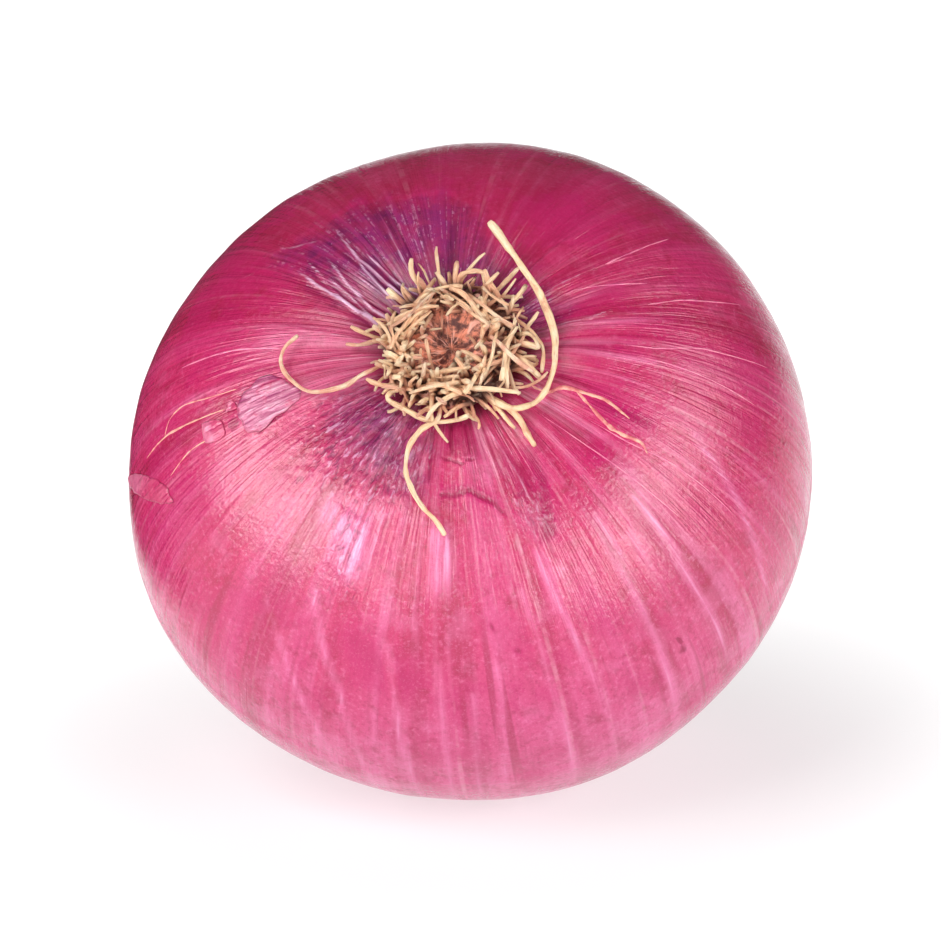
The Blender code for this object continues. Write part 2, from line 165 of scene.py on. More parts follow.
SHORT_DROOP = (0.05, 0.3)
CURLED_ROOTS = 26
CURLED_JITTER = 0.4
CURLED_LENGTHS = (6.0 * MM, 10.0 * MM)
CURLED_PLACES = (0.7, 0.92)
CURLED_UPWARD = (0.1, 0.7)
CURLED_SPREAD = 1.2
CURLED_CURL = (0.1, 0.4)
CURLED_DROOP = (0.1, 0.3)

# The long roots that wander out over the skin: (x, y, height over the skin) along each, in millimetres
LONG_ROOTS = (
    ((3.2, -4.4, 1.8), (5.0, -6.8, 1.8), (8.0, -8.1, 1.6), (10.6, -6.2, 1.5), (11.9, -2.5, 1.5),
     (11.7, 1.3, 1.6), (10.1, 5.7, 2.0), (7.6, 9.6, 2.4), (5.6, 12.6, 2.8), (3.5, 15.0, 3.2)),
    ((-5.4, -1.4, 1.6), (-7.7, -2.8, 1.5), (-10.3, -4.6, 1.5), (-12.9, -6.0, 1.3), (-15.9, -6.0, 1.2),
     (-18.1, -4.3, 1.3), (-19.3, -2.0, 1.4), (-18.9, -0.2, 1.4), (-17.4, 1.1, 1.4)),
    ((-0.6, -6.4, 1.8), (-0.9, -9.5, 1.6), (-2.6, -10.8, 1.2), (-3.8, -12.9, 1.1), (-4.1, -15.3, 1.1),
     (-3.3, -17.5, 1.1), (-1.9, -19.5, 1.0), (-0.3, -21.1, 1.0), (0.7, -22.3, 0.9)),
    ((5.2, -6.5, 1.6), (7.8, -8.5, 1.3), (9.0, -10.2, 1.0), (10.2, -11.9, 0.9)),
    ((5.2, 0.9, 2.0), (7.5, 0.5, 2.0), (10.2, -0.2, 1.6)),
    ((5.7, -0.4, 1.9), (8.1, -1.7, 1.8), (10.5, -3.9, 1.4)),
    ((3.6, 4.4, 1.9), (6.4, 3.7, 1.8), (9.2, 2.0, 1.5), (10.5, -0.5, 1.3), (10.4, -3.3, 1.2)),
    ((-6.6, 0.9, 1.6), (-8.0, 0.6, 1.4), (-10.2, 0.1, 1.2), (-11.9, 0.2, 1.0)),
    ((0.3, 6.4, 1.8), (0.4, 8.6, 1.8), (1.5, 9.2, 1.8), (3.1, 9.0, 1.8), (4.1, 6.7, 1.7)),
    ((5.4, 5.1, 1.8), (4.1, 7.8, 2.0), (3.3, 9.4, 2.1)),
    ((-5.4, -5.4, 1.6), (-6.5, -7.1, 1.5), (-3.2, -8.9, 1.4), (0.0, -9.6, 1.4), (2.7, -8.8, 1.4)),
)

# How thick each long root is at its start and at its tip, as shares of the root radius
LONG_THICKNESS = (
    (0.55, 0.88), (0.55, 0.46), (0.62, 0.50), (0.60, 0.70), (0.72, 0.66), (0.68, 0.60), (0.50, 0.46),
    (0.60, 0.42), (0.55, 0.50), (0.55, 0.55), (0.70, 0.56),
)

# The fine plate
PLATE_SIDES = 96
PLATE_PARTS = 6
PLATE_SHOULDER_RISE = 0.8 * PLATE_CROWN_HEIGHT
CORK_HEIGHT = 0.35 * MM
CORK_SIZE = 1.1 * MM
CORK_FINER = 2.3
CORK_FROM = 0.9 * PLATE_RADIUS

# Dry neck, as the solid has it
PLUG_RADIUS = 3.0 * MM
PLUG_LENGTH = 3.4 * MM
PLUG_OUTLINE = ((0.0, 0.0), (0.5, 0.0), (0.85, 0.65), (0.0, 1.0))
SHREDS = 9
SHRED_JITTER = 0.2
SHRED_FOOT_RADIUS = 0.45 * PLUG_RADIUS
SHRED_FOOT_DEPTH = 1.1 * MM
SHRED_SEED = 5
SHRED_WIDTHS = (3.0 * MM, 4.8 * MM)
SHRED_TIP_SHARE = 0.35
SHRED_LENGTHS = (7.0 * MM, 13.0 * MM)
SHRED_LEAN = (0.02, 0.30)
SHRED_SWAY = 0.45
SHRED_ARCH = 0.45 * MM
SHRED_STEPS = 5
SHRED_REST_HEIGHTS = (1.3 * MM, 3.6 * MM)

# The fine neck
PLUG_SIDES = 72
PLUG_PARTS = 6
PLUG_LAYERS = 5
PLUG_LAYER_HEIGHT = 0.25 * MM
LEAF_THICKNESS = 0.16 * MM
LEAF_COLUMNS = 8
LEAF_PARTS = 5
LEAF_RIPPLE = 0.30 * MM
LEAF_RIPPLE_SIZE = 1.6 * MM
LEAF_RIPPLE_AT_FOOT = 0.3
LEAF_TEAR = 0.16
LEAF_TEARS = 2.2
LEAF_LOWEST = 0.35 * MM
THIN_LEAVES = 14
THIN_LEAF_SEED = 8
THIN_LEAF_WIDTHS = (0.7 * MM, 2.2 * MM)

# Folds in the skin itself: places along each as (angle, reach), its half width in mm, and its strength.
# A ridge is above 0 and pale; a crease is below 0, sunk, and darkened with painted shade, as are the
# shallow grooves beside a ridge.
SKIN_FOLDS = (
    (((163.5, 8.3), (158, 10.5), (155.5, 13.1), (152, 18.5), (149, 23), (146.5, 29)), 0.31, 1.2),
    (((162, 7.7), (155, 11.1), (150, 14.5), (147.5, 18), (145, 25)), 0.25, 1.1),
    (((152, 7.4), (151.5, 10.8), (146, 15.4), (142, 19), (137.5, 26)), 0.28, 1.2),
    (((139.5, 8.5), (137.5, 12.5), (136.5, 15), (132, 22), (127.5, 29)), 0.26, 0.95),
    (((130, 8.5), (133.5, 12), (134, 16.5), (131.5, 25)), 0.22, 1.1),
    (((121.5, 8.5), (128.5, 11.4), (130.5, 16.2), (128, 21)), 0.22, 1.0),
    (((118.5, 8.5), (119, 13), (118, 19), (117, 26)), 0.24, 0.8),
    (((146, 9), (147, 13), (142, 17.5)), 0.16, 0.8),
    (((158, 12), (151, 16.5), (146, 21), (143, 25)), 0.16, 0.9),
    (((98, 8.8), (99.5, 10.8), (100.5, 12.8)), 0.18, 0.6),
    (((137.5, 23.6), (142.5, 25.9), (146.5, 30.5)), 0.36, 0.6),
    (((150, 26.5), (155.5, 30.5), (157, 34)), 0.34, 0.45),
    (((16, 11.4), (16.5, 14.8), (18, 17.1), (20, 19.4), (20.5, 23.6)), 0.18, 0.7),
    (((36, 9), (37, 14), (37, 21), (38.5, 26.2)), 0.18, 0.7),
    (((175, 9.4), (172.5, 15.7), (169.5, 22), (171, 27)), 0.22, 0.6),
    (((-176, 10), (-174, 16), (-171.5, 20), (-172, 25)), 0.18, 0.55),
    (((-143.5, 24.0), (-140, 22.5), (-136, 21.4), (-131, 21.6)), 0.26, 0.45),
    (((-143.5, 24.2), (-140, 23.9), (-134.5, 23.1)), 0.26, 0.40),
    (((-69.5, 11.7), (-66, 18.2), (-64.5, 22.8), (-61, 27.5)), 0.17, 0.6),
    (((-64, 10.7), (-60.5, 17.7), (-60.5, 20.2), (-60, 22.5), (-60.5, 26.5)), 0.22, 0.75),
    (((-144, 43), (-141, 44.1), (-137, 43.6)), 0.30, 0.5),
    (((-142, 42), (-141, 44.1), (-141.5, 47)), 0.30, 0.4),
    (((-91, 13.7), (-87, 13.9), (-82, 14.5), (-77, 14.2), (-73, 14.4)), 0.15, -0.8),
    (((-90, 18.0), (-85, 18.1), (-80, 17.6), (-76, 18.6), (-72, 19.6), (-70, 21.0), (-66.5, 22.4)),
     0.28, -0.7),
    (((-86, 9.5), (-86.5, 11.5), (-85.5, 13.7)), 0.22, -1.1),
    (((-77, 9.8), (-76.5, 12), (-77.5, 14)), 0.16, -0.7),
    (((-98, 10), (-96, 14), (-95, 17.5)), 0.22, -0.9),
    (((-156.5, 23.6), (-157.6, 20.8), (-160.5, 17.6)), 0.26, -1.0),
    (((-47.5, 45), (-45, 45), (-44.5, 47), (-47, 47.5)), 0.30, -0.5),
)
FOLD_HEIGHT = 0.16 * MM
FOLD_FADING = 0.45
GROOVE_DEPTH = 0.5
GROOVE_WIDTH = 2.0

# Thin lines that lie on the skin: places along each, its half width in mm, and its tone, a dried orange
# fibre's or a pink vein's
FIBRE, VEIN = 0.0, 1.0
SKIN_LINES = (
    (((20.5, 23.6), (22, 28.5), (22.5, 33), (23.5, 39)), 0.11, VEIN),
    (((6, 19.9), (6.5, 23.9), (9, 29.3), (9.5, 34.2), (10.5, 41)), 0.10, VEIN),
    (((37, 21), (38.5, 26.2), (40, 32.5)), 0.11, VEIN),
    (((32, 15.7), (29, 20.8), (27.5, 24.8)), 0.08, VEIN),
    (((176.5, 35), (176.5, 30.8), (176.5, 25.9), (177.5, 22.5), (178.5, 19.9)), 0.13, VEIN),
    (((2.5, 21.1), (2.0, 28.8), (0.5, 38.2)), 0.08, VEIN),
    (((-36.5, 13), (-33, 23.6), (-31, 33.3)), 0.08, VEIN),
    (((-169.5, 42.7), (-170, 37.9), (-169.5, 34.5), (-168.5, 30.8), (-167.5, 27.3)), 0.15, FIBRE),
    (((-170, 37.9), (-173, 36.5), (-174, 33.6), (-172.5, 29.6), (-171.5, 25.3)), 0.11, FIBRE),
    (((-161.5, 37.9), (-163, 33), (-162, 29)), 0.09, FIBRE),
    (((-23.5, 10.2), (-23.5, 12.2), (-19, 13.7), (-17.5, 15.9), (-16.5, 18.2), (-17.5, 20.2), (-18.5, 21.9)),
     0.27, FIBRE),
    (((-18, 15.2), (-21, 17.1), (-24, 19.9), (-24, 21.9), (-23, 24.2), (-24.5, 25.6)), 0.28, FIBRE),
    (((-26, 13), (-25.5, 21.6), (-22.5, 29.3), (-22, 39.9)), 0.09, VEIN),
)
LINE_PARTS = 6
LINE_SIDES = 8
LINE_PROUD = 0.45
LINE_WANDER = 3.0
LINE_WANDER_STEP = 0.4
LINE_WANDER_BENDS = 1.7
LINE_SCATTER = 9.1
LINE_END = 0.15
LINE_UNEVEN = 0.9

# Soft marks on the skin: places along each, its half width in mm and its strength, which is paler above
# 0 and darker below it
SOFT_MARKS = (
    # The first, third and fourth marks lie where the gloss catches the light and are partly painted
    # highlight
    (((-90, 22.5), (-89, 25), (-90.5, 31)), 1.1, 1.1),
    (((-90.5, 38), (-89.5, 48), (-89.5, 62), (-89.5, 73)), 0.55, 0.9),
    (((-122, 23.5), (-116, 25), (-112, 29.5)), 1.6, 0.8),
    (((-112, 22.5), (-111, 27), (-111, 31.5)), 1.3, 1.1),
    (((12.5, 8), (14, 13), (15, 20), (16, 27)), 0.45, 0.55),
    (((3, 8), (6, 14), (7, 21), (8, 30)), 0.40, 0.50),
    (((-3, 8.5), (1, 13.7), (1, 20), (2, 26)), 0.45, 0.55),
    (((-10, 9), (-8, 14), (-7, 20), (-8, 29)), 0.40, 0.45),
    (((-29, 10.3), (-28, 15.4), (-29, 21), (-31, 29)), 0.45, 0.50),
    (((24, 8.5), (27, 14), (29, 19), (30, 28)), 0.45, 0.45),
    (((-40, 10), (-41, 16), (-42, 22), (-44, 30)), 0.40, 0.45),
    (((-64.5, 26), (-64, 31.9), (-62.5, 40.2), (-61, 55), (-60, 70)), 0.50, 0.9),
    (((-46.5, 26.2), (-48.5, 36.7), (-49.5, 49.3), (-50, 66)), 0.55, 0.9),
    (((-42.5, 30), (-43.5, 40), (-44, 58)), 0.45, 0.7),
    (((-118, 33), (-114, 37.7), (-108, 44.7), (-103.5, 60), (-102, 72)), 0.60, 0.9),
    (((-100.5, 36), (-98, 44), (-95.5, 62.1), (-94.5, 73)), 0.55, 0.9),
    (((-79, 38), (-79.5, 46), (-80.5, 61.5), (-81, 73)), 0.45, 0.85),
    (((-84, 42), (-84.5, 52), (-85, 70)), 0.38, 0.6),
    (((-35, 27.6), (-37.5, 37.6), (-37.5, 48.1), (-38, 60)), 0.60, 0.9),
    (((-71, 30), (-70, 38), (-69, 52), (-68.5, 68)), 0.45, 0.8),
    (((-127.5, 36.5), (-117.5, 44.7), (-110.5, 55), (-108, 68)), 0.50, 0.8),
    (((-13.5, 30.2), (-19, 38.4), (-24, 48.1), (-27, 60)), 0.50, 0.85),
    (((-161, 12), (-164, 18), (-166, 26)), 1.8, 0.45),
    (((180, 10), (178, 18), (176, 26)), 2.6, 0.45),
    (((-30, 13), (-33, 20), (-34, 30)), 1.6, 0.35),
    (((-34, 21.5), (-34.5, 22.6)), 1.5, -0.9),
    (((-52, 15.5), (-54, 19.4), (-58, 23.6), (-59.5, 28)), 1.0, -0.9),
    (((-19.5, 17.5), (-18.5, 20.5), (-16.8, 24), (-17.5, 26)), 1.5, -0.8),
    (((-162.6, 26.4), (-161.9, 27.3)), 0.8, -1.4),
    (((-136.2, 22.8), (-135.6, 22.9)), 0.6, -1.5),
    (((-82, 10.5), (-81, 13.0)), 2.4, -0.8),
    (((-88, 17.6), (-80, 17.4), (-73, 19.0), (-67, 22.0)), 0.9, -0.8),
    (((-66, 22.0), (-61, 26.5)), 1.3, -0.6),
    # These five wide dark marks are painted shade: the darker band below the highlights
    (((-106.5, 36.5), (-99.5, 40.0), (-91, 41)), 3.2, -0.7),
    (((-153.5, 34), (-152, 47)), 4.2, -0.6),
    (((-78, 33), (-70, 38)), 2.6, -0.5),
    (((-60, 34), (-50, 40), (-40, 46)), 3.0, -0.40),
    (((-128, 37), (-121, 40)), 2.6, -0.5),
    (((150, 34), (145, 42), (140, 50)), 3.6, -0.45),
    (((60, 24), (62, 34), (58, 44)), 4.5, -0.40),
    (((20, 46), (14, 54)), 3.4, -0.35),
    (((4.2, 19.0), (3.8, 19.2)), 0.55, -0.7),
    (((-3.5, 16.7), (-3.3, 16.9)), 0.40, -0.7),
    (((-74.5, 37), (-74.2, 37.3)), 0.45, -0.6),
    (((-78.5, 33.3), (-78.2, 33.5)), 0.40, -0.6),
    (((-59.5, 35.6), (-59.2, 35.8)), 0.42, -0.6),
    (((-57, 44.1), (-56.8, 44.4)), 0.42, -0.5),
    (((-106.5, 44.7), (-106.3, 45.0)), 0.40, -0.5),
    (((-103, 58.1), (-102.8, 58.4)), 0.40, -0.5),
    (((-54.5, 47.6), (-50.5, 52.7), (-44.5, 65.2)), 1.2, -0.4),
)
SOFT_FADING = 0.30

# Loose scraps of the outermost skin: places round each one's edge, the way on the map in which it lifts,
# how far it lifts in mm, and its tone, 0 wrinkled lilac, 1 pale pink
SKIN_SCRAPS = (
    (((-168, 25.2), (-163, 25.6), (-157, 24.2), (-157.5, 20.8), (-161, 17.4), (-170, 19.5), (-172, 22.3)),
     280, 0.22, 0.0),
    (((-167, 30.8), (-165.5, 28.2), (-161, 27.9), (-162, 30.8)), 200, 0.12, 0.8),
    (((-166.5, 27.1), (-169, 26.2), (-166, 25.4)), 180, 0.10, 1.0),
    (((-173, 52.5), (-170, 50.3), (-166.5, 47.6), (-162, 43.9), (-157, 39.4), (-160, 38.9), (-165, 42.0),
      (-169.5, 46.6)), 110, 0.08, 0.7),
)
SCRAP_THICKNESS = 0.06 * MM
SCRAP_RINGS = 10
SCRAP_SIDES = 72
SCRAP_PARTS = 4
SCRAP_RAG = 0.12
SCRAP_RAGS = 0.8
SCRAP_WRINKLE = 0.07 * MM
SCRAP_WRINKLES = 1.4
SCRAP_SCATTER = 7.7
SCRAP_PROUD = 1.6

# The fine tuft: its roots are clipped a little shorter than the solid's, and others fill it out. A
# thickness is the least and the most at a root's foot, as shares of the root radius.
ROOT_SIDES = 8
FINE_SIDES = 6
SHORT_PARTS = 2
LONG_PARTS = 5
FINE_SEED = 23
SHORT_THICKNESS = (0.42, 0.76)
CURLED_THICKNESS = (0.38, 0.64)
TIP_THINNING = (0.7, 1.0)
TRIMMED_SHARE = 0.82
FINE_ROOTS = 170
FINE_LENGTHS = (2.4 * MM, 5.0 * MM)
FINE_THICKNESS = (0.26, 0.55)
WOVEN_ROOTS = 46
WOVEN_LENGTHS = (3.0 * MM, 6.5 * MM)
WOVEN_PLACES = (0.62, 0.98)
WOVEN_FOOT = (0.9, 1.9)
WOVEN_OUTWARD = (-0.8, 0.9)
WOVEN_UPWARD = (-0.05, 0.45)
WOVEN_CURL = (0.05, 0.28)
WOVEN_DROOP = (0.05, 0.18)
WOVEN_THICKNESS = (0.34, 0.64)

# Bunches of short roots: their number, the angle round the axis where they stand and how far they spread,
# their places as shares of the plate's radius, their lengths, their thickness, and their tones, whitish
# above 1
BUNCHES = {
    "golden_bunch": (
        42, math.radians(-163), math.radians(24),
        (0.62, 1.0), (2.2 * MM, 4.0 * MM), (0.46, 0.74), (0.72, 0.9),
    ),
    "clipped_bunch": (
        16, math.radians(-52), math.radians(34),
        (0.22, 0.74), (1.0 * MM, 1.9 * MM), (0.60, 0.82), (1.1, 1.2),
    ),
    "lower_bunch": (
        40, math.radians(-95), math.radians(58),
        (0.62, 1.0), (2.0 * MM, 4.2 * MM), (0.36, 0.62), (0.3, 0.95),
    ),
}
BUNCH_OUTWARD = (-0.2, 0.6)
BUNCH_UPWARD = (0.8, 1.7)
BUNCH_DROOP = 0.06

# How a root has dried: grooved, knotty, kinked, drawn together at its tip, and brown at its foot, darkened
# further with painted shade deep in the tuft over the plate
GROOVE = 0.16
GROOVE_TWIST = 0.4
GROOVE_SCATTER = 40
KNOTS = 0.30
KNOT_SPACING = 0.45
KINK = 0.22 * MM
KINK_LENGTH = 2.6 * MM
KINK_SEED = 4
CLIPPED_TIP = 0.65
BROWN_SHADED_FOOT = (-0.3 * MM, 1.9 * MM)
PLATE_SHADE = 2.0 * MM
PLATE_SHADE_SHARES = (0.9, 1.4)

# Colours, linear
DEEP_CRIMSON = (0.30, 0.008, 0.042)
CRIMSON = (0.53, 0.025, 0.114)
PINK = (0.64, 0.086, 0.245)
PALE_PINK = (0.78, 0.19, 0.39)
VEIN_PINK = (0.82, 0.34, 0.46)
DEEP_MAGENTA = (0.50, 0.012, 0.125)
SPOT_RED = (0.30, 0.006, 0.060)
PURPLE = (0.27, 0.020, 0.130)
DEEP_PURPLE = (0.12, 0.009, 0.062)
# The lilac of painted highlights: glints, crinkle ridges and the strongest pale marks
LILAC_GLINT = (0.76, 0.40, 0.62)
PLEAT_PINK = (0.70, 0.27, 0.38)
PLEAT_AND_TUFT_SHADE = (0.20, 0.020, 0.045)
DRY_ROSE = (0.56, 0.13, 0.15)
DRY_RED = (0.36, 0.035, 0.065)
DRY_TAN = (0.66, 0.39, 0.23)
DRY_BROWN = (0.40, 0.16, 0.11)
ROOT_GOLD = (1.00, 0.685, 0.40)
ROOT_TAN = (0.99, 0.57, 0.33)
ROOT_RUST = (0.62, 0.22, 0.12)
ROOT_ROSE = (0.84, 0.38, 0.27)
ROOT_SHADE_BROWN = (0.10, 0.026, 0.014)
ROOT_STRAW = (1.00, 0.81, 0.57)
ROOT_CREAM = (1.00, 0.80, 0.55)
CORK = (0.86, 0.28, 0.165)
CORK_DARK = (0.12, 0.024, 0.018)
CORK_PALE = (0.95, 0.46, 0.35)
PAPER_STRAW = (0.68, 0.47, 0.28)
PAPER_BROWN = (0.38, 0.19, 0.10)
PAPER_RED = (0.36, 0.07, 0.09)
FIBRE_ORANGE = (0.88, 0.42, 0.32)
FIBRE_RED = (0.62, 0.12, 0.14)
VEIN_ROSE = (0.82, 0.22, 0.36)
FOLD_LILAC = (0.82, 0.50, 0.70)
SCRAP_PURPLE = (0.38, 0.055, 0.160)
SCRAP_LILAC = (0.52, 0.125, 0.240)
SCRAP_WHITE = (0.70, 0.33, 0.45)
SCRAP_ROSE = (0.56, 0.060, 0.180)
SCRAP_PEACH = (0.68, 0.17, 0.28)

# The side of the onion painted paler about its own axis, painted light from the white floor below that
# leaves the top deep crimson as painted shade; how uneven that side's edge is, and the turns from the root
# pole where it dries out
PAINTED_LIGHT_SIDE = (0.05, -0.72, -0.69)
PAINTED_LIGHT_UNEVEN = 0.8
DRY_TURNS = (2.20, 2.95)

# Patterns on the skin. Streaks from pole to pole: a sixth of their number, how fast they change along, their
# detail and their seed
SKIN_STREAKS = {
    "broad": (1.6, 0.9, 2.0, 4.0),
    "bands": (6.0, 0.7, 2.0, 11.0),
    "ribs": (16.0, 0.9, 2.0, 17.0),
    "fine": (38.0, 2.5, 3.0, 23.0),
    "fibres": (110.0, 5.0, 2.0, 31.0),
    "pale_lines": (34.0, 0.8, 0.0, 41.0),
    "dark_lines": (30.0, 1.2, 0.0, 57.0),
    "pleats": (12.0, 0.5, 3.0, 77.0),
    "drying": (11.0, 1.2, 5.0, 90.0),
}
# Painted glints on the purple layer, as painted highlights: their streaks, and how the mottle seeds them
GLINT_STREAKS = (52.0, 6.0, 3.0)
GLINT_SEEDS = (4.0, 71.0)

# Spots on the skin: how many to a millimetre, their detail and their roughness. Patches are drawn out
# round it.
SKIN_SPOTS = {
    "mottle": (0.45, 4.0, 0.6),
    "grain": (1.6, 3.0, 0.6),
    "specks": (4.2, 2.0, 0.7),
    "ragged": (0.6, 4.0, 0.65),
}
PATCH_SPOTS = (0.115, 5.0, 0.62)
PATCH_LENGTH = 5.0
CRINKLES_ROUND, CRINKLES_ALONG = 32.0, 27.0

# Washes of colour, one over the other: the pattern, the values of it where the wash starts and where it
# is full, its share there, its colour, and the mask that it keeps to, if any
GROUND_WASHES = (
    # Painted light: the first wash makes the lower side pink, and the pale washes keep to that lit side
    ("painted_light", 0.35, 1.35, 1.0, PINK),
    ("bands", 0.50, 0.72, 0.50, PINK, "painted_light_share"),
    ("bands", 0.50, 0.30, 0.60, DEEP_CRIMSON),
    ("ribs", 0.52, 0.75, 0.40, PALE_PINK, "painted_light_share"),
    ("fine", 0.50, 0.75, 0.20, PALE_PINK, "painted_light_share"),
    ("fine", 0.48, 0.25, 0.30, DEEP_CRIMSON),
    ("mottle", 0.50, 0.72, 0.50, DEEP_CRIMSON),
    ("grain", 0.52, 0.75, 0.40, PALE_PINK, "painted_light_share"),
    ("grain", 0.48, 0.25, 0.45, DEEP_CRIMSON),
    ("patches", 0.50, 0.58, 0.36, DEEP_MAGENTA),
    ("patches", 0.46, 0.38, 0.22, PALE_PINK, "painted_light_share"),
)
DARK_MARK_WASHES = (
    ("tint", 0.0, -1.0, 0.85, DEEP_MAGENTA),
    ("tint", -0.55, -1.0, 0.80, SPOT_RED),
    ("cracked", -0.5, 0.6, 0.45, SPOT_RED),
)
SPECK_WASHES = (
    ("specks", 0.54, 0.74, 0.28, PALE_PINK, "painted_light_share"),
    ("specks", 0.42, 0.26, 0.30, SPOT_RED),
)
ROOT_WASHES = (
    ("tone", 0.22, 0.10, 0.75, ROOT_ROSE),
    ("blotches", 0.48, 0.68, 0.75, ROOT_STRAW),
    ("blotches", 0.46, 0.28, 0.65, ROOT_RUST),
    ("wrinkles", 0.48, 0.30, 0.60, ROOT_RUST),
    ("wrinkles", 0.52, 0.70, 0.45, ROOT_STRAW),
    # The last two washes are painted shade deep in the tuft, over the roots' own browning at their feet
    ("pale", 0.85, 0.40, 0.80, ROOT_RUST),
    ("pale", 0.45, 0.10, 0.95, ROOT_SHADE_BROWN),
)

# How high the patterns stand in the skin, in millimetres
SKIN_BUMPS = {"fibres": 0.09, "fine": 0.17, "ribs": 0.17, "bands": 0.20, "grain": 0.10}
PLEAT_BUMP = 0.45
CRINKLE_BUMP = 0.50

# The stage
VIEW_AZIMUTH = math.radians(5.5)
VIEW_ELEVATION = math.radians(18.0)
VIEW_DISTANCE = 0.62
VIEW_WIDTH = 0.1113
VIEW_SHIFT_UP = 0.3 * MM
CARD_HEIGHT = 0.5 * MM
FLAG_PLACE = -0.075
FLAG_SPAN = (-0.005, 0.30, 0.11)
GLOW_REACHES = (0.034, 0.088)
GLOW_STRENGTHS = (0.64, 0.96)
FLAG_DARK = (0.02, 0.004, 0.008)
FLAG_RED = (0.05, 0.008, 0.018)

# Soft boxes that light the onion, and ones that show in its gloss alone: azimuth and elevation in degrees,
# distance, (width, height), and radiance, where the white floor's is about 1
FILLS = {
    "key": (-42, 42, 1.0, (0.70, 0.70), 5.1),
    "left_fill": (-50, 10, 1.1, (0.50, 0.40), 3.0),
    "right_fill": (58, 22, 1.1, (0.62, 0.52), 6.0),
}
SHINES = {
    "left_box": (-56, 17, 1.1, (0.84, 0.55), 10.0),
    "front_strip": (-8, 13, 1.3, (0.14, 0.62), 12.0),
    "right_box": (52, 12, 1.1, (0.66, 0.50), 8.0),
    "right_side_box": (88, 27, 1.1, (0.52, 0.40), 5.5),
    "upper_box": (-62, 54, 1.1, (0.50, 0.40), 2.0),
}

# Lit cards on the floor that show in the gloss alone: azimuth in degrees, near and far end, width, and
# radiance
CARDS = {
    "left_card": (-35, 0.27, 1.2, 0.20, 10.0),
    "front_card": (-8, 0.40, 1.2, 0.11, 11.0),
    "right_card": (56, 0.20, 1.0, 0.24, 7.0),
}

# The floor and the light from all round, which is dim overhead and in front
FLOOR_RADIUS = 5.0
FLOOR_GREYS = ((0.40, 0.40, 0.40), (0.43, 0.43, 0.43))
SKY_BEHIND = (1.0, 1.0, 1.0)
SKY_IN_FRONT = (0.14, 0.14, 0.14)
SKY_OVERHEAD = (0.13, 0.13, 0.14)
SKY_STRENGTH = 0.62


def smooth_step(value, low, high):
    """0 below low, 1 above high and an S between."""
    share = min(1.0, max(0.0, (value - low) / (high - low)))
    return share * share * (3 - 2 * share)


def hill(value, middle, width):
    """A round hill: 1 at its middle, and 1/e at width to either side."""
    return math.exp(-(((value - middle) / width) ** 2))


def root_side(turn):
    """(radius, height) of the plain turned bulb: turn 0 is the root pole, a quarter turn its widest ring."""
    power = 2 / ROOT_SIDE_FULLNESS
    radius = EQUATOR_RADIUS * math.sin(turn) ** power
    height = ROOT_SIDE_HEIGHT * max(0.0, math.cos(turn)) ** power
    return radius, height - DIMPLE_DEPTH * hill(radius, 0, DIMPLE_RADIUS)


def neck_side(depth):
    """Radius of the plain turned bulb at a depth below its widest ring, drawn in to the neck."""
    share = min(1.0, depth / NECK_SIDE_HEIGHT)
    bulb = EQUATOR_RADIUS * max(0.0, 1 - share**NECK_SIDE_FULLNESS) ** (1 / NECK_SIDE_FULLNESS)
    flare = NECK_FLARE * hill(depth, NECK_FLARE_DEPTH, NECK_FLARE_LENGTH)
    return (bulb**NECK_BLEND + (NECK_RADIUS + flare) ** NECK_BLEND) ** (1 / NECK_BLEND)


def bulb_outline():
    """Many (radius, height) along the plain turned bulb, root pole first."""
    turns = [math.pi / 2 * i / OUTLINE_SAMPLES for i in range(OUTLINE_SAMPLES + 1)]
    depths = [NECK_END * math.sin(turn) for turn in turns]
    return [root_side(turn) for turn in turns[:-1]] + [(neck_side(depth), -depth) for depth in depths]


def running_length(outline):
    """The length along an outline at each of its points."""
    steps = [math.dist(here, after) for here, after in zip(outline, outline[1:])]
    return [0.0, *itertools.accumulate(steps)]


OUTLINE = bulb_outline()
LENGTHS = running_length(OUTLINE)
SKIN_LENGTH = LENGTHS[-1]


@functools.cache
def skin_ring(reach):
    """(radius, height) of the plain turned bulb at a reach in metres, and the way out there."""
    segment = min(len(LENGTHS) - 2, max(0, bisect.bisect_right(LENGTHS, reach) - 1))
    share = (reach - LENGTHS[segment]) / (LENGTHS[segment + 1] - LENGTHS[segment])
    (r0, z0), (r1, z1) = OUTLINE[segment], OUTLINE[segment + 1]
    way_out = Vector((z0 - z1, r1 - r0)).normalized()
    return r0 + (r1 - r0) * share, z0 + (z1 - z0) * share, way_out


def grown(point):
    """A point of the plain turned bulb, moved to where the grown one has it: lobed, puckered and folded."""
    radius, angle = math.hypot(point.x, point.y), math.atan2(point.y, point.x)
    swell = sum(share * math.cos(waves * (angle - turn)) for waves, share, turn in LOBES)
    neck = smooth_step(-point.z, NECK_FOLDS_START, NECK_END)
    fold = NECK_FOLD_DEPTH * neck * math.cos(NECK_FOLDS * (angle + NECK_TWIST * point.z))
    scale = (1 + swell * (1 - neck)) * (1 + fold)
    height = point.z
    if height > 0:
        ring = hill(radius, PUCKER_RADIUS, PUCKER_WIDTH)
        uneven = PUCKER_SWAY * math.sin(PUCKER_SWAYS * angle)
        height += PUCKER_HEIGHT * ring * math.cos(PUCKERS * angle + uneven)
    return Vector((point.x * scale, point.y * scale, height))


def skin_height(x, y):
    """Height of the root side's skin over a place near the axis."""
    radius = math.hypot(x, y)
    share = min(1.0, radius / EQUATOR_RADIUS) ** ROOT_SIDE_FULLNESS
    height = ROOT_SIDE_HEIGHT * (1 - share) ** (1 / ROOT_SIDE_FULLNESS)
    height -= DIMPLE_DEPTH * hill(radius, 0, DIMPLE_RADIUS)
    return grown(Vector((x, y, height))).z


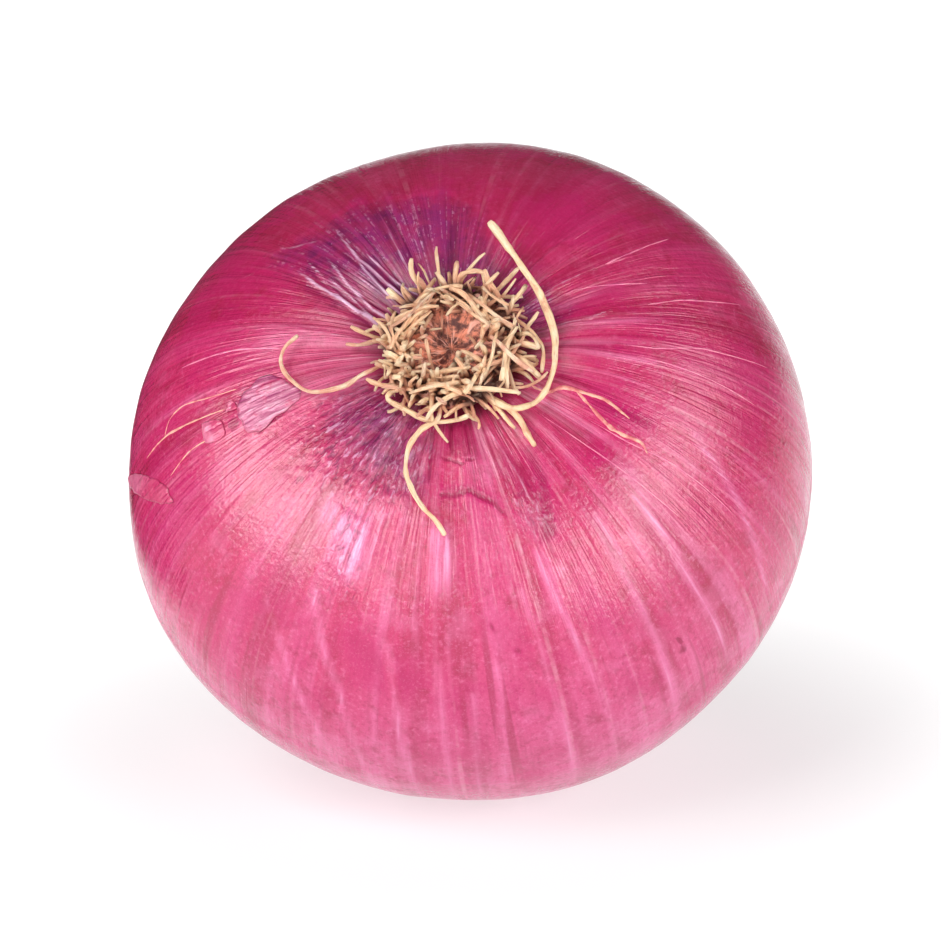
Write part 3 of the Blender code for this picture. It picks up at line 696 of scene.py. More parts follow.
def lie_down():
    """The turn and shift that set the bulb down, its lowest place FLAT_SPOT_DEPTH under the origin."""
    turn = Matrix.Rotation(ROOT_TILT, 4, "X")
    underside = [turn @ grown(Vector((0, -radius, height))) for radius, height in OUTLINE]
    lowest = min(underside, key=lambda point: point.z)
    return Matrix.Translation((-lowest.x, -lowest.y, -lowest.z - FLAT_SPOT_DEPTH)) @ turn


LYING = lie_down()


def on_map(angle, reach):
    """A place on the skin, its angle in degrees and its reach in mm, on a flat map round the root pole."""
    return Vector((math.cos(math.radians(angle)), math.sin(math.radians(angle)))) * reach


def depth_inside(place, outline):
    """How deep a place lies inside an outline on the map, in mm. It is less than 0 outside."""
    nearest, inside = math.inf, False
    for start, end in zip(outline, outline[1:] + outline[:1]):
        _, share = intersect_point_line(place, start, end)
        nearest = min(nearest, (place - start.lerp(end, min(1.0, max(0.0, share)))).length)
        if (start.y > place.y) != (end.y > place.y):
            crossing = start.x + (place.y - start.y) / (end.y - start.y) * (end.x - start.x)
            inside = inside != (place.x < crossing)
    return nearest if inside else -nearest


def on_map_all(zones):
    """The outlines of zones, moved to the map."""
    return [[on_map(*place) for place in zone] for zone in zones]


BARED_MAP = on_map_all(BARED_ZONES)
WRINKLED_MAP = on_map_all(WRINKLED_ZONES)
CRACKED_MAP = on_map_all(CRACKED_ZONES)


def deepest(place, zones):
    """Depth inside the nearest of the zones, kept within FULL_DEPTH either way."""
    if place.length > MAP_REACH:
        return -FULL_DEPTH
    return max(-FULL_DEPTH, min(FULL_DEPTH, max(depth_inside(place, zone) for zone in zones)))


def marks_on_map(marks):
    """Marks along routes, moved to the map, each with its middle and how far it spreads from there."""
    moved = []
    for route, half_width, strength in marks:
        places = [on_map(*place) for place in route]
        middle = sum(places, Vector((0, 0))) / len(places)
        spread = max((place - middle).length for place in places) + MARK_SPREAD * half_width
        moved.append((places, half_width, strength, middle, spread))
    return moved


SOFT_MAP = marks_on_map(SOFT_MARKS)
FOLD_MAP = marks_on_map(SKIN_FOLDS)


def soft_edge(share):
    """1 on a mark's own line, eased to 0 at twice its half width."""
    return 1 - smooth_step(share, 0, 2)


def fold_edge(share):
    """A ridge on a mark's own line, with a shallow groove on either side."""
    return (1 + GROOVE_DEPTH) * hill(share, 0, 1) - GROOVE_DEPTH * hill(share, 0, GROOVE_WIDTH)


def marked(place, marks, edge, fading):
    """What all the marks make of a place on the map, by how near it is to each.

    fading is the share of a mark's length over which it dies away at its outer end."""
    total = 0.0
    for places, half_width, strength, middle, spread in marks:
        if (place - middle).length > spread:
            continue
        nearest, along = math.inf, 0.0
        for number, (start, end) in enumerate(zip(places, places[1:])):
            _, share = intersect_point_line(place, start, end)
            share = min(1.0, max(0.0, share))
            distance = (place - start.lerp(end, share)).length
            if distance < nearest:
                nearest, along = distance, (number + share) / (len(places) - 1)
        total += strength * edge(nearest / half_width) * (1 - smooth_step(along, 1 - fading, 1.0))
    return total


MARKS = ("bared", "wrinkled", "cracked", "tint", "fold")


def skin_marks(angle, reach):
    """The marks of a place: how deep it lies inside each kind of zone in mm, its tint and its fold."""
    place = on_map(math.degrees(angle), reach / MM)
    return {
        "bared": deepest(place, BARED_MAP),
        "wrinkled": deepest(place, WRINKLED_MAP),
        "cracked": deepest(place, CRACKED_MAP),
        "tint": marked(place, SOFT_MAP, soft_edge, SOFT_FADING),
        "fold": marked(place, FOLD_MAP, fold_edge, FOLD_FADING),
    }


def round_noise(angle, reach, count, along, seed):
    """Noise that makes streaks from pole to pole, about six times count of them."""
    return noise.noise(Vector((math.cos(angle) * count, math.sin(angle) * count, reach / MM * along + seed)))


def relief(angle, reach, marks):
    """How far the real skin stands out over its smooth form."""
    reach_mm = reach / MM
    radius, height, _ = skin_ring(reach)
    place = Vector((radius * math.cos(angle), radius * math.sin(angle), height))
    out = DENT_HEIGHT * noise.noise(place / DENT_SIZE)
    out += RIB_HEIGHT * round_noise(angle, reach, *RIB_NOISE)
    near_tuft = hill(reach_mm, TUFT_FOLD_REACH, TUFT_FOLD_WIDTH)
    out += TUFT_FOLD_HEIGHT * near_tuft * round_noise(angle, reach, *TUFT_FOLD_NOISE)
    crumple = 1 - 2 * abs(noise.noise(place / CRUMPLE_SIZE)) - abs(noise.noise(place / (0.5 * CRUMPLE_SIZE)))
    out += CRUMPLE_HEIGHT * smooth_step(marks["wrinkled"], *CRUMPLE_EDGE) * crumple
    out -= LAYER_STEP * smooth_step(marks["bared"], *LAYER_EDGE)
    out += FOLD_HEIGHT * marks["fold"]
    pleat = 1 - PLEAT_SHARPNESS * abs(round_noise(angle, reach, *PLEAT_NOISE))
    out += PLEAT_HEIGHT * pleat * hill(reach_mm, PLEAT_REACH, PLEAT_WIDTH)
    crease = 1 - NECK_CREASE_SHARPNESS * abs(round_noise(angle, reach, *NECK_CREASE_NOISE))
    out += NECK_CREASE_HEIGHT * smooth_step(reach_mm, *NECK_CREASE_REACHES) * crease
    return out * smooth_step(reach_mm, *RELIEF_STARTS) * smooth_step(SKIN_LENGTH - reach, 0, RELIEF_END)


def on_skin(angle, reach, lift=0.0):
    """A point of the lying onion's skin, lifted by so many metres, and the way out there."""
    turn, reach = math.radians(angle), reach * MM
    radius, height, (outward, upward) = skin_ring(reach)
    circle = Vector((math.cos(turn), math.sin(turn), 0))
    way_out = circle * outward + Vector((0, 0, upward))
    point = grown(circle * radius + Vector((0, 0, height)))
    point += way_out * (relief(turn, reach, skin_marks(turn, reach)) + lift)
    return LYING @ point, (LYING.to_3x3() @ way_out).normalized()


def smooth_route(points, parts):
    """Points along the smooth curve through these ones, with so many parts between each two."""
    padded = [points[0], *points, points[-1]]
    smooth = []
    for before, here, after, beyond in zip(padded, padded[1:], padded[2:], padded[3:]):
        for part in range(parts):
            t = part / parts
            smooth.append(
                here
                + (after - before) * (t / 2)
                + (2 * before - 5 * here + 4 * after - beyond) * (t**2 / 2)
                + (3 * here - before - 3 * after + beyond) * (t**3 / 2)
            )
    return [*smooth, points[-1]]


def new_piece(name, bm, material, slot, *nodes):
    """The mesh of bm as a piece of the onion, in place of the solid nodes named."""
    mesh = bpy.data.meshes.new(name)
    bm.to_mesh(mesh)
    bm.free()
    mesh.materials.append(material)
    mesh.shade_smooth()
    piece = bpy.data.objects.new(name, mesh)
    bpy.context.scene.collection.objects.link(piece)
    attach(piece, "root")
    if nodes:
        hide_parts(*nodes)
    return piece


def cut_flat_spot(bm):
    """Cuts away what reaches below z = 0, and closes the cut with a flat face."""
    geometry = [*bm.verts, *bm.edges, *bm.faces]
    cut = bmesh.ops.bisect_plane(
        bm, geom=geometry, dist=1e-7, plane_co=(0, 0, 0), plane_no=(0, 0, -1), clear_outer=True
    )
    rims = [part for part in cut["geom_cut"] if isinstance(part, bmesh.types.BMEdge)]
    bmesh.ops.edgeloop_fill(bm, edges=rims)


def spin_profile(profile, sides):
    """A bmesh of a profile of (radius, height), with both ends on the axis, turned into a closed skin."""
    bm = bmesh.new()
    verts = [bm.verts.new((radius, 0, height)) for radius, height in profile]
    edges = [bm.edges.new(pair) for pair in zip(verts, verts[1:])]
    bmesh.ops.spin(
        bm, geom=verts + edges, axis=(0, 0, 1), cent=(0, 0, 0), angle=math.tau, steps=sides, use_merge=True
    )
    bmesh.ops.remove_doubles(bm, verts=bm.verts, dist=1e-6)
    bmesh.ops.recalc_face_normals(bm, faces=bm.faces)
    return bm


def make_skin(material):
    """The bulb's whole skin: a grid bent round its outline, every point at its grown and wrinkled place."""
    bm = bmesh.new()
    layers = {name: bm.verts.layers.float.new(name) for name in MARKS}
    reaches = [FINE_REACH * ring / FINE_RINGS for ring in range(FINE_RINGS)]
    beyond = SKIN_LENGTH - FINE_REACH
    reaches += [FINE_REACH + beyond * ring / COARSE_RINGS for ring in range(COARSE_RINGS + 1)]
    profile = [(*skin_ring(reach)[:2], reach) for reach in reaches]
    rim = profile[-1][0]
    for across, deep in NECK_DISH:
        profile.append((rim * across, deep * NECK_DISH_DEPTH - NECK_END, SKIN_LENGTH + rim * (1 - across)))
    rows = len(profile) - 1
    bmesh.ops.create_grid(bm, x_segments=SKIN_SIDES, y_segments=rows, size=1.0)
    for vert in bm.verts:
        angle = math.pi * vert.co.x
        radius, height, reach = profile[round((vert.co.y + 1) / 2 * rows)]
        reach = min(reach, SKIN_LENGTH)
        circle = Vector((math.cos(angle), math.sin(angle), 0))
        outward, upward = skin_ring(reach)[2]
        way_out = circle * outward + Vector((0, 0, upward))
        marks = skin_marks(angle, reach)
        for name, mark in marks.items():
            vert[layers[name]] = mark
        vert.co = grown(circle * radius + Vector((0, 0, height))) + way_out * relief(angle, reach, marks)
    bmesh.ops.remove_doubles(bm, verts=bm.verts, dist=1e-6)
    bmesh.ops.recalc_face_normals(bm, faces=bm.faces)
    bmesh.ops.transform(bm, matrix=LYING, verts=bm.verts)
    cut_flat_spot(bm)
    return new_piece("bulb_skin", bm, material, "skin", "bulb")


def above_skin(point, clearance):
    """The point, lifted where it is nearer the skin than clearance."""
    lowest = skin_height(point.x, point.y) + clearance
    return Vector((point.x, point.y, max(point.z, lowest)))


def in_plate(radius, angle, share):
    """A place in the plate, at a share of its crown's height, and the way out from the axis there."""
    out = Vector((math.cos(angle), math.sin(angle), 0))
    height = skin_height(0, 0) + GAP + share * PLATE_CROWN_HEIGHT
    return out * radius + Vector((0, 0, height)), out


def grow_root(draw, base, heading, length, curl, droop):
    """Points of one root from its base in the plate: it curls and droops, and stays above the skin."""
    heading = heading.normalized()
    sway = Vector([draw.gauss(0, 1) for _ in range(3)])
    steps = max(3, round(length / ROOT_STEP))
    points = [above_skin(base - heading * ROOT_SUNK, ROOT_RADIUS + GAP), base]
    for _ in range(steps):
        across = heading.cross(sway).normalized()
        heading = (heading + curl * across + droop * Vector((0, 0, -1))).normalized()
        points.append(above_skin(points[-1] + heading * (length / steps), ROOT_RADIUS + GAP))
    return points


def short_roots(draw, count, lengths):
    """Clipped roots all over the plate, short and bent every way."""
    for i in range(count):
        angle = GOLDEN_TURN * i + draw.uniform(-SHORT_JITTER, SHORT_JITTER)
        base, out = in_plate(PLATE_RADIUS * math.sqrt(draw.uniform(*SHORT_PLACES)), angle, SHORT_FOOT)
        along = Vector((-out.y, out.x, 0))
        heading = out * draw.uniform(*SHORT_OUTWARD) + Vector((0, 0, draw.uniform(*SHORT_UPWARD)))
        heading += along * draw.uniform(-SHORT_SPREAD, SHORT_SPREAD)
        length = draw.uniform(*lengths)
        yield grow_root(draw, base, heading, length, draw.uniform(*SHORT_CURL), draw.uniform(*SHORT_DROOP))


def curled_roots(draw):
    """Longer roots that leave the plate's edge and curl over the skin round it."""
    for i in range(CURLED_ROOTS):
        angle = math.tau * (i + draw.uniform(-CURLED_JITTER, CURLED_JITTER)) / CURLED_ROOTS
        base, out = in_plate(PLATE_RADIUS * draw.uniform(*CURLED_PLACES), angle, CURLED_FOOT)
        along = Vector((-out.y, out.x, 0))
        heading = out + Vector((0, 0, draw.uniform(*CURLED_UPWARD)))
        heading += along * draw.uniform(-CURLED_SPREAD, CURLED_SPREAD)
        length = draw.uniform(*CURLED_LENGTHS)
        yield grow_root(draw, base, heading, length, draw.uniform(*CURLED_CURL), draw.uniform(*CURLED_DROOP))


def long_roots():
    """The long roots' points, each with one more at its start that is sunk into the plate."""
    for route in LONG_ROOTS:
        points = []
        for x, y, lift in route:
            points.append(Vector((x * MM, y * MM, skin_height(x * MM, y * MM) + lift * MM)))
        start = points[0]
        reach = min(LONG_FOOT_REACH * start.xy.length, PLATE_SHOULDER_SHARE * PLATE_RADIUS)
        inside, _ = in_plate(reach, math.atan2(start.y, start.x), LONG_FOOT)
        route = smooth_route([inside, *points], LONG_PARTS)
        yield [above_skin(point, ROOT_RADIUS + GAP) for point in route]


def carried_frames(route):
    """(across, up) square to a route at each of its points, carried along it without a twist."""
    across = None
    for number in range(len(route)):
        ahead = (route[min(number + 1, len(route) - 1)] - route[max(number - 1, 0)]).normalized()
        if across is None:
            across = ahead.orthogonal()
        across = (across - ahead * across.dot(ahead)).normalized()
        yield across, ahead.cross(across)


def add_tube(bm, route, radii, sides, tone):
    """A closed tube along route. Its points know how far along they are, and its own tone."""
    along_of, tone_of = bm.verts.layers.float["along"], bm.verts.layers.float["tone"]
    strand_of = bm.verts.layers.float_vector["strand"]
    lengths = running_length(route)
    rows = len(route) - 1
    made = bmesh.ops.create_grid(bm, x_segments=sides, y_segments=rows, size=1.0)["verts"]
    frames = list(carried_frames(route))
    for vert in made:
        row = round((vert.co.y + 1) / 2 * rows)
        turn = math.pi * (vert.co.x + 1)
        across, up = frames[row]
        vert[along_of] = row / rows
        vert[tone_of] = tone
        vert[strand_of] = (math.cos(turn), math.sin(turn), lengths[row] / MM)
        grooved = 1 + GROOVE * math.cos(2 * turn + tone * GROOVE_SCATTER + row * GROOVE_TWIST)
        vert.co = route[row] + (across * math.cos(turn) + up * math.sin(turn)) * radii[row] * grooved
    faces = {face for vert in made for face in vert.link_faces}
    bmesh.ops.remove_doubles(bm, verts=made, dist=1e-7)
    rims = {edge for face in faces if face.is_valid for edge in face.edges if edge.is_boundary}
    bmesh.ops.holes_fill(bm, edges=list(rims), sides=sides)


def new_tubes():
    """A bmesh for tubes, with the layers that they fill."""
    bm = bmesh.new()
    for name in ("along", "tone"):
        bm.verts.layers.float.new(name)
    bm.verts.layers.float_vector.new("strand")
    return bm


def root_radii(draw, count, start, tip):
    """Radii along a root, uneven as a dried root's are, and drawn together a little at its clipped tip."""
    seed = draw.uniform(0, 100)
    radii = []
    for number in range(count):
        share = number / (count - 1)
        knots = 1 + KNOTS * noise.noise(Vector((seed, share * count * KNOT_SPACING, 0)))
        radii.append(ROOT_RADIUS * (start + (tip - start) * share) * knots)
    radii[-1] *= CLIPPED_TIP
    return radii


def kinked(route, seed):
    """A route, bent a little this way and that as a root is that has dried."""
    bent = []
    for point in route:
        place = point / KINK_LENGTH
        bent.append(point + KINK * noise.noise_vector(place + Vector((seed, 0, 0))))
    return bent


def woven_roots(draw):
    """Thin roots that lie round the plate and across each other, as straw does in a nest."""
    for i in range(WOVEN_ROOTS):
        angle = GOLDEN_TURN * i + draw.uniform(-SHORT_JITTER, SHORT_JITTER)
        base, out = in_plate(PLATE_RADIUS * draw.uniform(*WOVEN_PLACES), angle, draw.uniform(*WOVEN_FOOT))
        heading = Vector((-out.y, out.x, 0)) * draw.choice((-1, 1))
        heading += out * draw.uniform(*WOVEN_OUTWARD) + Vector((0, 0, draw.uniform(*WOVEN_UPWARD)))
        length = draw.uniform(*WOVEN_LENGTHS)
        curl, droop = draw.uniform(*WOVEN_CURL), draw.uniform(*WOVEN_DROOP)
        yield grow_root(draw, base, heading, length, curl, droop)


def bunched_roots(draw, count, middle, spread, places, lengths):
    """Short roots that stand close together at one side of the plate."""
    for _ in range(count):
        reach = PLATE_RADIUS * draw.uniform(*places)
        base, out = in_plate(reach, middle + draw.uniform(-spread, spread), SHORT_FOOT)
        along = Vector((-out.y, out.x, 0))
        heading = out * draw.uniform(*BUNCH_OUTWARD) + Vector((0, 0, draw.uniform(*BUNCH_UPWARD)))
        heading += along * draw.uniform(-SHORT_SPREAD, SHORT_SPREAD)
        length = draw.uniform(*lengths)
        yield grow_root(draw, base, heading, length, draw.uniform(*SHORT_CURL), BUNCH_DROOP)


def make_roots(name, routes, thickness, sides, draw, material, tones=(0.0, 1.0)):
    """One piece of many roots. thickness gives each one's at its foot and its tip, in root radii."""
    bm = new_tubes()
    unshaded_of = bm.verts.layers.float.new("pale")
    for number, (route, (start, tip)) in enumerate(zip(routes, thickness)):
        route = kinked(route, number)
        add_tube(bm, route, root_radii(draw, len(route), start, tip), sides, draw.uniform(*tones))
    # pale is 0 low over the plate and at a root's foot, where the roots are browned and painted with shade
    for vert in bm.verts:
        over_plate = 1 - smooth_step(vert.co.xy.length / PLATE_RADIUS, *PLATE_SHADE_SHARES)
        rise = vert.co.z - skin_height(vert.co.x, vert.co.y) - PLATE_SHADE * over_plate
        vert[unshaded_of] = max(smooth_step(rise, *BROWN_SHADED_FOOT), 1 - over_plate)
    bmesh.ops.recalc_face_normals(bm, faces=bm.faces)
    bmesh.ops.transform(bm, matrix=LYING, verts=bm.verts)
    return new_piece(name, bm, material, "roots", "root_tuft")


def smoothed(routes):
    """Short routes, each made smooth."""
    return [smooth_route(route, SHORT_PARTS) for route in routes]


def trimmed(routes):
    """Smooth routes, each cut off before its end: the dried roots are a little shorter than the solid's."""
    for route in routes:
        smooth = smooth_route(route, SHORT_PARTS)
        yield smooth[: max(3, round(TRIMMED_SHARE * len(smooth)))]


def make_tuft(material):
    """Every root: those of the solid, and finer ones between and over them."""
    noise.seed_set(KINK_SEED)
    draw = random.Random(ROOT_SEED)
    short = list(trimmed(short_roots(draw, SHORT_ROOTS, SHORT_LENGTHS)))
    curled = list(trimmed(curled_roots(draw)))
    fine_draw = random.Random(FINE_SEED)
    fine = smoothed(short_roots(fine_draw, FINE_ROOTS, FINE_LENGTHS))
    woven = smoothed(woven_roots(fine_draw))

    def thicknesses(low, high):
        while True:
            foot = fine_draw.uniform(low, high)
            yield foot, foot * fine_draw.uniform(*TIP_THINNING)

    for name, routes, thickness, sides in (
        ("short_roots", short, thicknesses(*SHORT_THICKNESS), ROOT_SIDES),
        ("curled_roots", curled, thicknesses(*CURLED_THICKNESS), ROOT_SIDES),
        ("fine_roots", fine, thicknesses(*FINE_THICKNESS), FINE_SIDES),
        ("woven_roots", woven, thicknesses(*WOVEN_THICKNESS), ROOT_SIDES),
        ("long_roots", list(long_roots()), LONG_THICKNESS, ROOT_SIDES),
    ):
        make_roots(name, routes, thickness, sides, fine_draw, material)
    for name, (count, middle, spread, places, lengths, thickness, tones) in BUNCHES.items():
        routes = smoothed(bunched_roots(fine_draw, count, middle, spread, places, lengths))
        make_roots(name, routes, thicknesses(*thickness), ROOT_SIDES, fine_draw, material, tones)


def make_plate(material):
    """The corky plate that the roots grow from: a turned crown with a hollow, its surface broken up."""
    middle, half, rim = (skin_height(PLATE_RADIUS * share, 0) + GAP for share in (0, 0.5, 1))
    crown = [
        Vector((0.0, middle + PLATE_HOLLOW_HEIGHT)),
        Vector((PLATE_HOLLOW_SHARE * PLATE_RADIUS, middle + PLATE_HOLLOW_HEIGHT)),
        Vector((PLATE_CROWN_SHARE * PLATE_RADIUS, middle + PLATE_CROWN_HEIGHT)),
        Vector((PLATE_SHOULDER_SHARE * PLATE_RADIUS, middle + PLATE_SHOULDER_RISE)),
        Vector((PLATE_RADIUS, rim + PLATE_RIM_HEIGHT)),
    ]
    under = [Vector((PLATE_RADIUS, rim)), Vector((0.5 * PLATE_RADIUS, half)), Vector((0.0, middle))]
    bm = spin_profile([*smooth_route(crown, PLATE_PARTS), *under], PLATE_SIDES)
    for vert in bm.verts:
        if vert.co.z > middle + PLATE_RIM_HEIGHT or vert.co.xy.length > CORK_FROM:
            cork = noise.noise(vert.co / CORK_SIZE) + 0.5 * noise.noise(vert.co * CORK_FINER / CORK_SIZE)
            vert.co.z += CORK_HEIGHT * cork
    bmesh.ops.transform(bm, matrix=LYING, verts=bm.verts)
    return new_piece("root_plate", bm, material, "roots", "root_tuft")


def leaf_rows(draw, place, heading, side):
    """(place, across, up) of each step along a leaf end, which comes down to its height and lies flat."""
    step = draw.uniform(*SHRED_LENGTHS) / SHRED_STEPS
    rest_height = draw.uniform(*SHRED_REST_HEIGHTS)
    sway = side * draw.uniform(-SHRED_SWAY, SHRED_SWAY) / SHRED_STEPS
    for number in range(SHRED_STEPS + 1):
        share = number / SHRED_STEPS
        level = Vector((heading.y, -heading.x, 0)).normalized()
        if level.dot(side) < 0:
            level.negate()
        across = side.lerp(level, share)
        across = (across - heading * across.dot(heading)).normalized()
        yield place, across, across.cross(heading)
        heading = heading + sway
        heading.z = max(heading.z, (rest_height - place.z) / step)
        heading.normalize()
        place = place + heading * step


def make_leaf(draw, place, heading, side, widths, material, name):
    """One papery leaf end: a thin strip, arched across, rippled, torn at its tip."""
    places, acrosses, ups = zip(*leaf_rows(draw, place, heading, side))
    width = draw.uniform(*widths)
    seed = draw.uniform(0, 100)
    rows = list(zip(*(smooth_route(list(way), LEAF_PARTS) for way in (places, acrosses, ups))))
    bm = new_tubes()
    along_of, tone_of = bm.verts.layers.float["along"], bm.verts.layers.float["tone"]
    bmesh.ops.create_grid(bm, x_segments=LEAF_COLUMNS, y_segments=len(rows) - 1, size=1.0)
    for vert in bm.verts:
        x, share = vert.co.x, (vert.co.y + 1) / 2
        torn = LEAF_TEAR * share**3 * noise.noise(Vector((x * LEAF_TEARS, seed, 0)))
        row = (share - abs(torn)) * (len(rows) - 1)
        low = min(len(rows) - 2, max(0, int(row)))
        (place, across, up), (place_on, _, _) = rows[low], rows[low + 1]
        half = width / 2 * (1 - (1 - SHRED_TIP_SHARE) * share**2)
        middle = place.lerp(place_on, row - low)
        flat = middle + across.normalized() * x * half
        ripple = LEAF_RIPPLE * noise.noise(Vector((x * half, share * width, seed * MM)) / LEAF_RIPPLE_SIZE)
        lift = SHRED_ARCH * (1 - x**2) + ripple * (LEAF_RIPPLE_AT_FOOT + share)
        vert.co = flat + up.normalized() * lift
        vert.co.z = max(vert.co.z, LEAF_LOWEST)
        vert[along_of] = share
        vert[tone_of] = x
    bmesh.ops.recalc_face_normals(bm, faces=bm.faces)
    bmesh.ops.solidify(bm, geom=bm.faces[:], thickness=LEAF_THICKNESS)
    return new_piece(name, bm, material, "papery_neck", "dry_neck")


def make_neck(material):
    """The dry neck: a core of dried layers in the neck's end, and papery leaf ends that lie flat."""
    top = -NECK_END + NECK_DISH_DEPTH - GAP
    profile = [Vector((across * PLUG_RADIUS, top - down * PLUG_LENGTH)) for across, down in PLUG_OUTLINE]
    bm = spin_profile(smooth_route(profile, PLUG_PARTS), PLUG_SIDES)
    for vert in bm.verts:
        layers = math.sin(vert.co.xy.length / PLUG_RADIUS * PLUG_LAYERS * math.tau)
        vert.co.z += PLUG_LAYER_HEIGHT * layers * (vert.co.z < top - MM)
    bmesh.ops.transform(bm, matrix=LYING, verts=bm.verts)
    new_piece("neck_core", bm, material, "papery_neck", "dry_neck")
    turn = LYING.to_3x3()
    for kind, seed, count, widths in (
        ("broad_leaf", SHRED_SEED, SHREDS, SHRED_WIDTHS),
        ("thin_leaf", THIN_LEAF_SEED, THIN_LEAVES, THIN_LEAF_WIDTHS),
    ):
        draw = random.Random(seed)
        for number in range(count):
            angle = math.tau * (number + draw.uniform(-SHRED_JITTER, SHRED_JITTER)) / count
            out = Vector((math.cos(angle), math.sin(angle), 0))
            side = Vector((-out.y, out.x, 0))
            foot = out * SHRED_FOOT_RADIUS + Vector((0, 0, top - SHRED_FOOT_DEPTH))
            heading = (Vector((0, 0, -1)) + out * draw.uniform(*SHRED_LEAN)).normalized()
            make_leaf(draw, LYING @ foot, turn @ heading, turn @ side, widths, material, f"{kind}_{number}")


def make_lines(material):
    """Thin fibres and veins, sunk to most of their depth and thinned to both ends."""
    bm = new_tubes()
    for number, (route, half_width, tone) in enumerate(SKIN_LINES):
        places = smooth_route([Vector(place) for place in route], LINE_PARTS)
        points, radii = [], []
        for row, (angle, reach) in enumerate(places):
            share = row / (len(places) - 1)
            wander = Vector((row * LINE_WANDER_STEP, number * LINE_SCATTER, 0))
            radius = half_width * MM * (LINE_END + (1 - LINE_END) * math.sin(math.pi * share) ** 0.5)
            radii.append(radius * (1 + LINE_UNEVEN * noise.noise(wander)))
            angle += LINE_WANDER / reach * noise.noise(wander * LINE_WANDER_BENDS)
            points.append(on_skin(angle, reach, (LINE_PROUD - 1) * radii[-1])[0])
        add_tube(bm, points, radii, LINE_SIDES, tone)
    bmesh.ops.recalc_face_normals(bm, faces=bm.faces)
    return new_piece("skin_lines", bm, material, "skin")


def edge_of(outline, way):
    """A place on a closed outline, at a share from 0 to 1 of the way round it."""
    step = way % 1 * len(outline)
    corner = int(step) % len(outline)
    return outline[corner].lerp(outline[(corner + 1) % len(outline)], step - int(step))


def make_scraps(material):
    """Loose scraps of the outermost skin: ragged, wrinkled and thin, each a little lifted at one side."""
    bm = new_tubes()
    along_of, tone_of = bm.verts.layers.float["along"], bm.verts.layers.float["tone"]
    strand_of = bm.verts.layers.float_vector["strand"]
    for number, (corners, lifts_to, lift, tone) in enumerate(SKIN_SCRAPS):
        outline = smooth_route([on_map(*corner) for corner in (*corners, corners[0])], SCRAP_PARTS)[:-1]
        middle = sum(outline, Vector((0, 0))) / len(outline)
        size = max((corner - middle).length for corner in outline)
        lifted_way = on_map(lifts_to, 1.0)
        made = bmesh.ops.create_grid(bm, x_segments=SCRAP_SIDES, y_segments=SCRAP_RINGS, size=1.0)["verts"]
        faces = {face for vert in made for face in vert.link_faces}
        for vert in made:
            way, share = (vert.co.x + 1) / 2, (vert.co.y + 1) / 2
            edge = edge_of(outline, way)
            rag = 1 + SCRAP_RAG * noise.noise(Vector((*edge * SCRAP_RAGS, number))) * share
            place = middle + (edge - middle) * share * rag
            raised = (place - middle).dot(lifted_way) / size
            way_on = Vector((*place * SCRAP_WRINKLES, number * SCRAP_SCATTER))
            wrinkle = SCRAP_WRINKLE * noise.noise(way_on)
            height = SCRAP_PROUD * SCRAP_THICKNESS + lift * MM * max(0.0, raised) ** 2
            height += (SCRAP_WRINKLE + wrinkle) * (1 - share**6)
            vert[along_of] = share
            vert[tone_of] = tone
            vert[strand_of] = (raised, 0, 0)
            angle = math.degrees(math.atan2(place.y, place.x))
            vert.co, _ = on_skin(angle, place.length, height)
        bmesh.ops.remove_doubles(bm, verts=made, dist=1e-7)
        thin = [face for face in faces if face.is_valid]
        bmesh.ops.recalc_face_normals(bm, faces=thin)
        bmesh.ops.solidify(bm, geom=thin, thickness=SCRAP_THICKNESS)
    bmesh.ops.recalc_face_normals(bm, faces=bm.faces)
    return new_piece("skin_scraps", bm, material, "skin")


